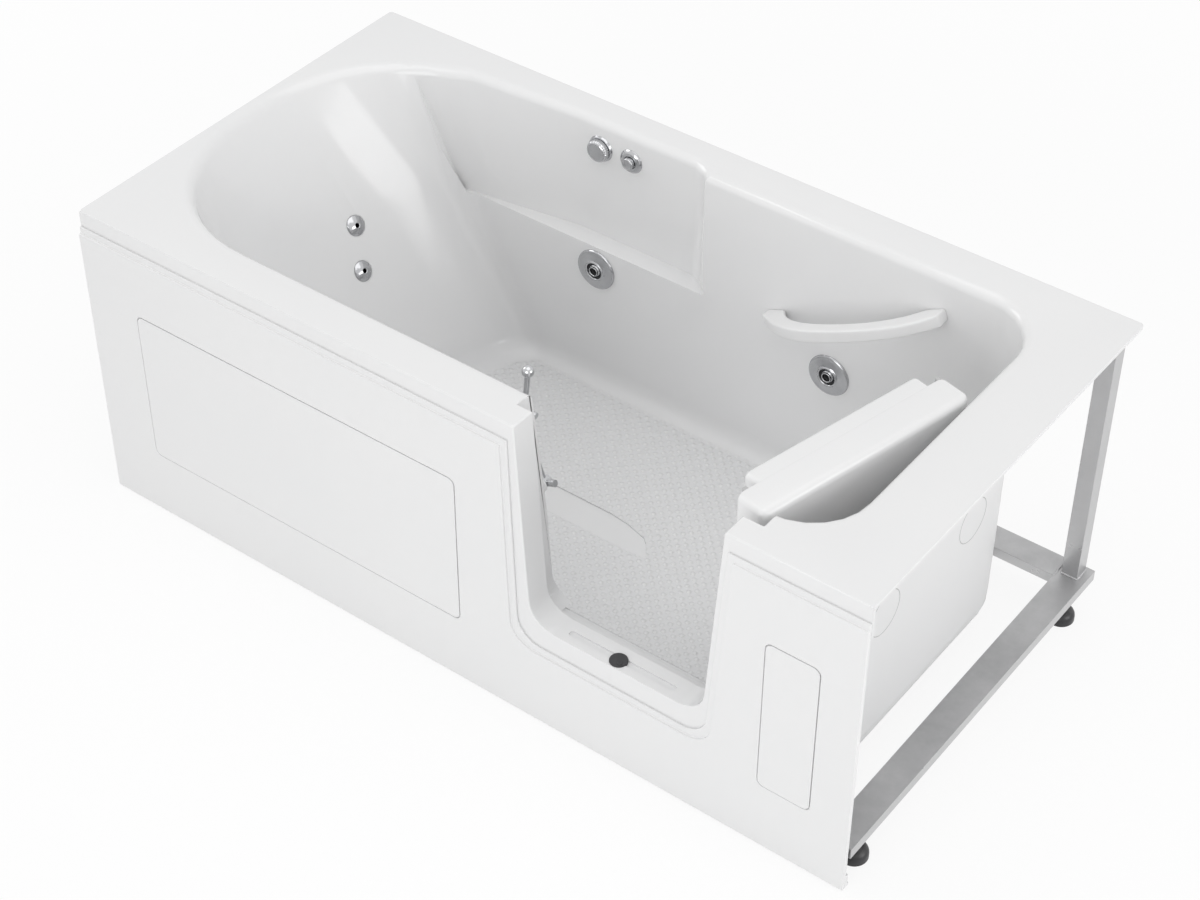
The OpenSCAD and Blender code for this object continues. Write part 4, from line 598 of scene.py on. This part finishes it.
def leafOutline(layer, inset, notched, topInset):
    # outline of one layer in the door's plane, drawn in by inset, its top by topInset; the hinge notches
    # open less than that
    drop = door["deck"] - layer["bottom"]
    left, right = layer["left"] + inset, layer["right"] - inset
    low, high = layer["bottom"] + inset, door["top"] - topInset
    small = door["notchEase"] * (1 - math.exp(-inset / door["notchEase"])) + door["notchCreep"] * inset
    corners = [(left, high), (left + layer["slopes"][0] * drop, low), (right - layer["slopes"][1] * drop, low)]
    radii = [door["topCorner"], door["corner"], door["corner"]]
    for level in door["notches"]:
        edge = right - layer["slopes"][1] * (door["deck"] - level)
        half = door["notchHalf"] + (small if notched else 0.0)
        lean = layer["slopes"][1] * half
        if notched:
            deep, shift, rise = door["notchEdge"] - small, 0.0, half
        else:  # as many corners, all on the straight edge
            deep, shift, rise = edge, lean * door["plainShare"], half * door["plainShare"]
        corners += [(edge - lean, level - half), (deep - shift, level - rise), (deep + shift, level + rise),
            (edge + lean, level + half)]
        radii += [door["notchRound"]] * 4
    corners.append((right, high))
    radii.append(door["topCorner"])
    return roundedLoop(corners, radii, door["cornerSteps"])


def edgeArc(plane, roundness, way, layer, topShare):
    # quarter arc between a layer's face and its side: (depth, inset); way is 1 at a front edge, -1 at an inner one
    angles = np.radians(np.linspace(0, 90, door["arcPoints"]))[::way]
    return [(door[plane] + way * door[roundness] * (1 - math.cos(a)), door[roundness] * (1 - math.sin(a)), layer,
        topShare) for a in angles]


def doorLeaf():
    # rings of (depth, inset): quarter arcs at each outer edge, a flat step between the layers
    stations = [(door["front"], door["frontRound"] + door["rim"], "body", 1.0),
        *edgeArc("front", "frontRound", 1, "body", 1.0),
        (door["split"] - door["layerStep"], 0.0, "body", 0.0),
        *edgeArc("split", "splitRound", 1, "flange", 0.0),
        *edgeArc("inner", "innerRound", -1, "flange", 1.0),
        (door["inner"], door["innerRound"] + door["rim"], "flange", 1.0)]
    rings = []
    for depth, inset, layer, topShare in stations:
        outline = leafOutline(door[layer], inset, layer == "flange", inset * topShare)
        rings.append(np.column_stack([outline[:, 0], np.full(len(outline), depth), outline[:, 1]]))
    points = np.array(rings)
    turn = -math.radians(door["open"])
    east, north = points[..., 0] - door["pivot"][0], points[..., 1] - door["pivot"][1]
    points[..., 0] = door["pivot"][0] + east * math.cos(turn) - north * math.sin(turn)
    points[..., 1] = door["pivot"][1] + east * math.sin(turn) + north * math.cos(turn)
    return ringSurface("doorLeaf", points * millimetre)


dress(doorLeaf(), "door_white", "door", "door_panel")

# grab bar: a rounded section carried along the bow, thinned to a soft nose at both ends
bar = {
    "start": (140.0, 377.0), "span": 329.0, "rise": 150.0, "bow": 50.0, "depth": 26.0, "height": 22.0,
    "inner": [0, 0, 0, 0.2, 0.36, 0.62, 0.82, 0.955, 1, 0.945, 0.8, 0.53, 0.29, 0, 0, 0],
    "innerAt": [0, 0.055, 0.109, 0.122, 0.142, 0.189, 0.253, 0.345, 0.47, 0.593, 0.707, 0.807, 0.859, 0.904, 0.95, 1],
    "outer": [0.22, 0.39, 0.56, 0.645, 0.73, 0.845, 0.93, 0.985, 1, 0.975, 0.905, 0.79, 0.68, 0.54, 0.41, 0.26],
    "outerAt": [0, 0.045, 0.1, 0.13, 0.165, 0.22, 0.29, 0.38, 0.5, 0.62, 0.73, 0.82, 0.88, 0.93, 0.967, 1],
    "power": 7.0, "nose": 0.02, "noseLeast": 0.55, "evenOver": 5, "gap": 0.3, "stations": 140, "sides": 56,
}
backWall = {"depth": 311.7, "lean": 14.0, "top": 592.0, "leanOver": 235.0}


def wallPlane(height):
    # depth of the back wall at a height, in millimetres: it leans in down to the arm ledge
    return backWall["depth"] - backWall["lean"] * np.clip((backWall["top"] - height) / backWall["leanOver"], 0, 1)


def evened(values, reach):
    # running mean that keeps both ends
    padded = np.concatenate([np.full(reach, values[0]), values, np.full(reach, values[-1])])
    return np.convolve(padded, np.ones(2 * reach + 1) / (2 * reach + 1), "valid")


def grabBar():
    # section |u|^p + |v|^p = 1 between the inner and the outer curve, p = power
    length = math.hypot(bar["span"], bar["rise"])
    t = np.linspace(0, 1, bar["stations"])
    index = np.linspace(0, len(bar["inner"]) - 1, bar["stations"])
    steps = np.arange(len(bar["inner"]))
    share = {key: evened(np.interp(index, steps, bar[key]), bar["evenOver"])
        for key in ("inner", "innerAt", "outer", "outerAt")}
    near = np.stack([share["innerAt"] * length, share["inner"] * bar["bow"]], axis=1)
    far = np.stack([share["outerAt"] * length, share["outer"] * (bar["bow"] + bar["depth"])], axis=1)
    end = np.clip(np.minimum(t, 1 - t) / bar["nose"], 0, 1)
    nose = np.sqrt(1 - (1 - end) ** 2) * (1 - bar["noseLeast"]) + bar["noseLeast"]
    around = np.arange(bar["sides"]) * 2 * math.pi / bar["sides"]
    u = np.sign(np.cos(around)) * np.abs(np.cos(around)) ** (2 / bar["power"])
    v = np.sign(np.sin(around)) * np.abs(np.sin(around)) ** (2 / bar["power"])
    along = near[:, 0, None] + (far[:, 0] - near[:, 0])[:, None] * (u + 1) / 2 * nose[:, None]
    out = near[:, 1, None] + (far[:, 1] - near[:, 1])[:, None] * (u + 1) / 2 * nose[:, None]
    up = v[None, :] * (bar["height"] / 2 * nose)[:, None]
    x = bar["start"][0] + (along * bar["span"] - up * bar["rise"]) / length
    z = bar["start"][1] + (along * bar["rise"] + up * bar["span"]) / length
    y = wallPlane(z) - bar["gap"] - out
    return ringSurface("grabBarBow", np.stack([x, y, z], axis=-1) * millimetre)


dress(grabBar(), "white_plastic", "tub", "grab_bar")

# large jets: dished plate with a rolled rim, lipped eyeball with a dark throat
jets = {
    "places": {"left": -0.222, "right": 0.267}, "wall": 0.2977, "level": 0.310,
    "plate": [(15.4, 0), (15.4, 7.0), (16.2, 8.6), (18.0, 8.9), (19.4, 7.4), (21.5, 6.4), (33.0, 4.4), (35.0, 4.6),
        (37.6, 4.2), (39.5, 2.2), (39.5, 0.05), (38.0, 0.0)],
    "ball": [(12.2, -4.0), (12.95, 0), (12.2, 4.6), (10.4, 7.2), (9.4, 7.6), (9.2, 10.6), (8.0, 10.9), (7.3, 10.0),
        (7.0, 8.2), (7.0, 6.4), (7.0, -6.0), (10.0, -8.0)],
    "throat": [(0.0, -5.0), (6.8, -5.0), (6.8, 6.2), (6.0, 6.8), (4.8, 4.4), (4.5, -3.4), (0.0, -3.6)],
    "collar": [(13.1, 0.2), (13.1, 4.4), (13.6, 5.0), (15.0, 5.0), (15.3, 4.4), (15.3, 0.2)],
}
forwards = (0, -1, 0)
for side, across in jets["places"].items():
    spot = (across, jets["wall"], jets["level"])
    for label, radius, sides, slotName, body, stoodFor in (
            ("plate", 1.2, 120, "chrome", "tub", ["jet_faceplate_" + side]),
            ("ball", 0.9, 72, "chrome", side + "_nozzle", ["jet_nozzle_" + side]),
            ("throat", 0.5, 48, "plug_rubber", side + "_nozzle", []),
            ("collar", 0.3, 96, "plug_rubber", "tub", [])):
        outline = softened(jets[label], radius) * millimetre
        piece = turned(side + "Jet" + label.capitalize(), outline, spot, forwards, sides)
        dress(piece, slotName, body, *stoodFor)

# air control knob: fluted rim, shallow crown, a stem into its base
airKnob = {
    "centre": (-0.241, 0.3304, 0.538), "flutes": 30, "fluteDepth": 0.0005, "fluteFrom": 0.0185,
    "profile": [(0.0, -10.0), (3.8, -10.0), (3.9, 0.1), (20.0, 0.2), (20.9, 1.6), (20.5, 7.6), (18.4, 11.0),
        (16.2, 12.4), (14.8, 11.6), (8.0, 12.3), (0.0, 12.9)],
}
knob = turned("airKnobCap", softened(airKnob["profile"], 1.0) * millimetre, airKnob["centre"], forwards, 180,
    airKnob["flutes"], airKnob["fluteDepth"], airKnob["fluteFrom"])
dress(knob, "chrome", "air_knob", "air_control_knob")

# push button: a ring with a rolled lip on a threaded stem, and a dished button inside it
pushButton = {
    "centre": (-0.176, 0.3347, 0.538),
    "ring": [(4.2, -34.0), (7.9, -34.0), (7.9, 0.0), (22.8, 0.0), (22.9, 1.0), (20.8, 3.4), (17.2, 5.4),
        (13.4, 5.95), (11.8, 5.4), (11.4, 4.4), (11.4, 1.0), (4.2, 1.0)],
    "cap": [(0.0, -3.0), (3.9, -3.0), (4.0, 5.3), (10.8, 5.4), (11.0, 6.2), (11.0, 12.4), (10.2, 13.8), (8.6, 13.9),
        (7.4, 13.2), (0.0, 12.6)],
}
ring = turned("buttonRing", softened(pushButton["ring"], 0.8) * millimetre, pushButton["centre"], forwards, 96)
dress(ring, "chrome", "tub", "button_surround")
cap = turned("buttonCap", softened(pushButton["cap"], 0.8) * millimetre, pushButton["centre"], forwards, 96)
dress(cap, "chrome", "button", "push_button")

# sealant bead round each flush disc in the foot end wall
discBead = {"centres": {"front": (0.645, -0.129, 0.311), "back": (0.645, 0.129, 0.311)},
    "profile": [(39.4, -0.6), (39.4, 0.1), (39.9, 0.45), (40.4, 0.45), (40.9, 0.1), (40.9, -0.6)]}
for side, spot in discBead["centres"].items():
    bead = turned(side + "DiscBead", np.array(discBead["profile"]) * millimetre, spot, (1, 0, 0), 120)
    dress(bead, "seal_rubber", "tub")

# weld beads where the base frame's tubes meet: a rippled round section carried round each joint
welds = {"radius": 0.0019, "ripple": 0.0003, "pitch": 0.0028, "sides": 10, "corner": 0.002, "cornerSteps": 4,
    "perRipple": 4}


def weldLoops(name, loops):
    # loops: (centre, half sizes, the two directions of the joint's plane)
    around = np.arange(welds["sides"]) * 2 * math.pi / welds["sides"]
    points, faces, start = [], [], 0
    for centre, halves, first, second in loops:
        plane = np.array([first, second], dtype=float)
        corners = [(x * halves[0], y * halves[1]) for x, y in aroundSquare]
        track = roundedLoop(corners, [welds["corner"]] * 4, welds["cornerSteps"])
        track = np.vstack([track, track[:1]])
        lengths = np.concatenate([[0], np.cumsum(np.linalg.norm(np.diff(track, axis=0), axis=1))])
        at = np.linspace(0, lengths[-1], int(lengths[-1] / welds["pitch"] * welds["perRipple"]) + 1)
        line = np.stack([np.interp(at, lengths, track[:, k]) for k in (0, 1)], axis=1)
        flat = line / np.linalg.norm(line, axis=1, keepdims=True) @ plane
        radius = (welds["radius"] + welds["ripple"] * np.cos(at * 2 * math.pi / welds["pitch"]))[:, None, None]
        spots = np.asarray(centre) + line @ plane
        rings = spots[:, None] + radius * (np.cos(around)[None, :, None] * flat[:, None]
            + np.sin(around)[None, :, None] * np.cross(*plane))
        faces.append(gridFaces(len(rings), welds["sides"], start))
        points.append(rings.reshape(-1, 3))
        start += len(points[-1])
    return newPiece(name, np.concatenate(points), faces)


eastWay, northWay, upWay = (1, 0, 0), (0, 1, 0), (0, 0, 1)
posts = ["post_front_left", "post_front_right", "post_back_left", "post_back_right"]
rails = ["rail_front", "rail_back", "rail_head_end", "rail_foot_end"]
postLoops, railLoops = [], []
for name in posts:
    low, high = (np.array(v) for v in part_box(name))
    middle = (low + high) / 2
    postLoops.append(((middle[0], middle[1], low[2]), (high - low)[:2] / 2, eastWay, northWay))
for name in rails[:2]:
    low, high = (np.array(v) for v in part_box(name))
    middle = (low + high) / 2
    railLoops += [((end, middle[1], middle[2]), (high - low)[1:] / 2, northWay, upWay) for end in (low[0], high[0])]
dress(weldLoops("postWelds", postLoops), "frame_steel", "tub")
dress(weldLoops("railWelds", railLoops), "frame_steel", "tub")
print("new surfaces built")


# the other CAD nodes keep their shape
slotOf = {part["node"]: part["material_slot"] for part in frame["record"]["subparts"]}
edgeRadius = {**dict.fromkeys(posts + rails, 0.003), "tub_shell": 0.0035, "front_apron": 0.0025,
    "access_panel_large": 0.0012, "access_panel_small": 0.0012, "end_wall_discs": 0.0005, "pump_shelf": 0.001,
    "pump_motor": 0.0015, "pump_wet_end": 0.003}
for name in nodes:
    finishNode(name, slotOf[name], edgeRadius.get(name, softening["radius"]))
print("kept nodes finished:", len(nodes))
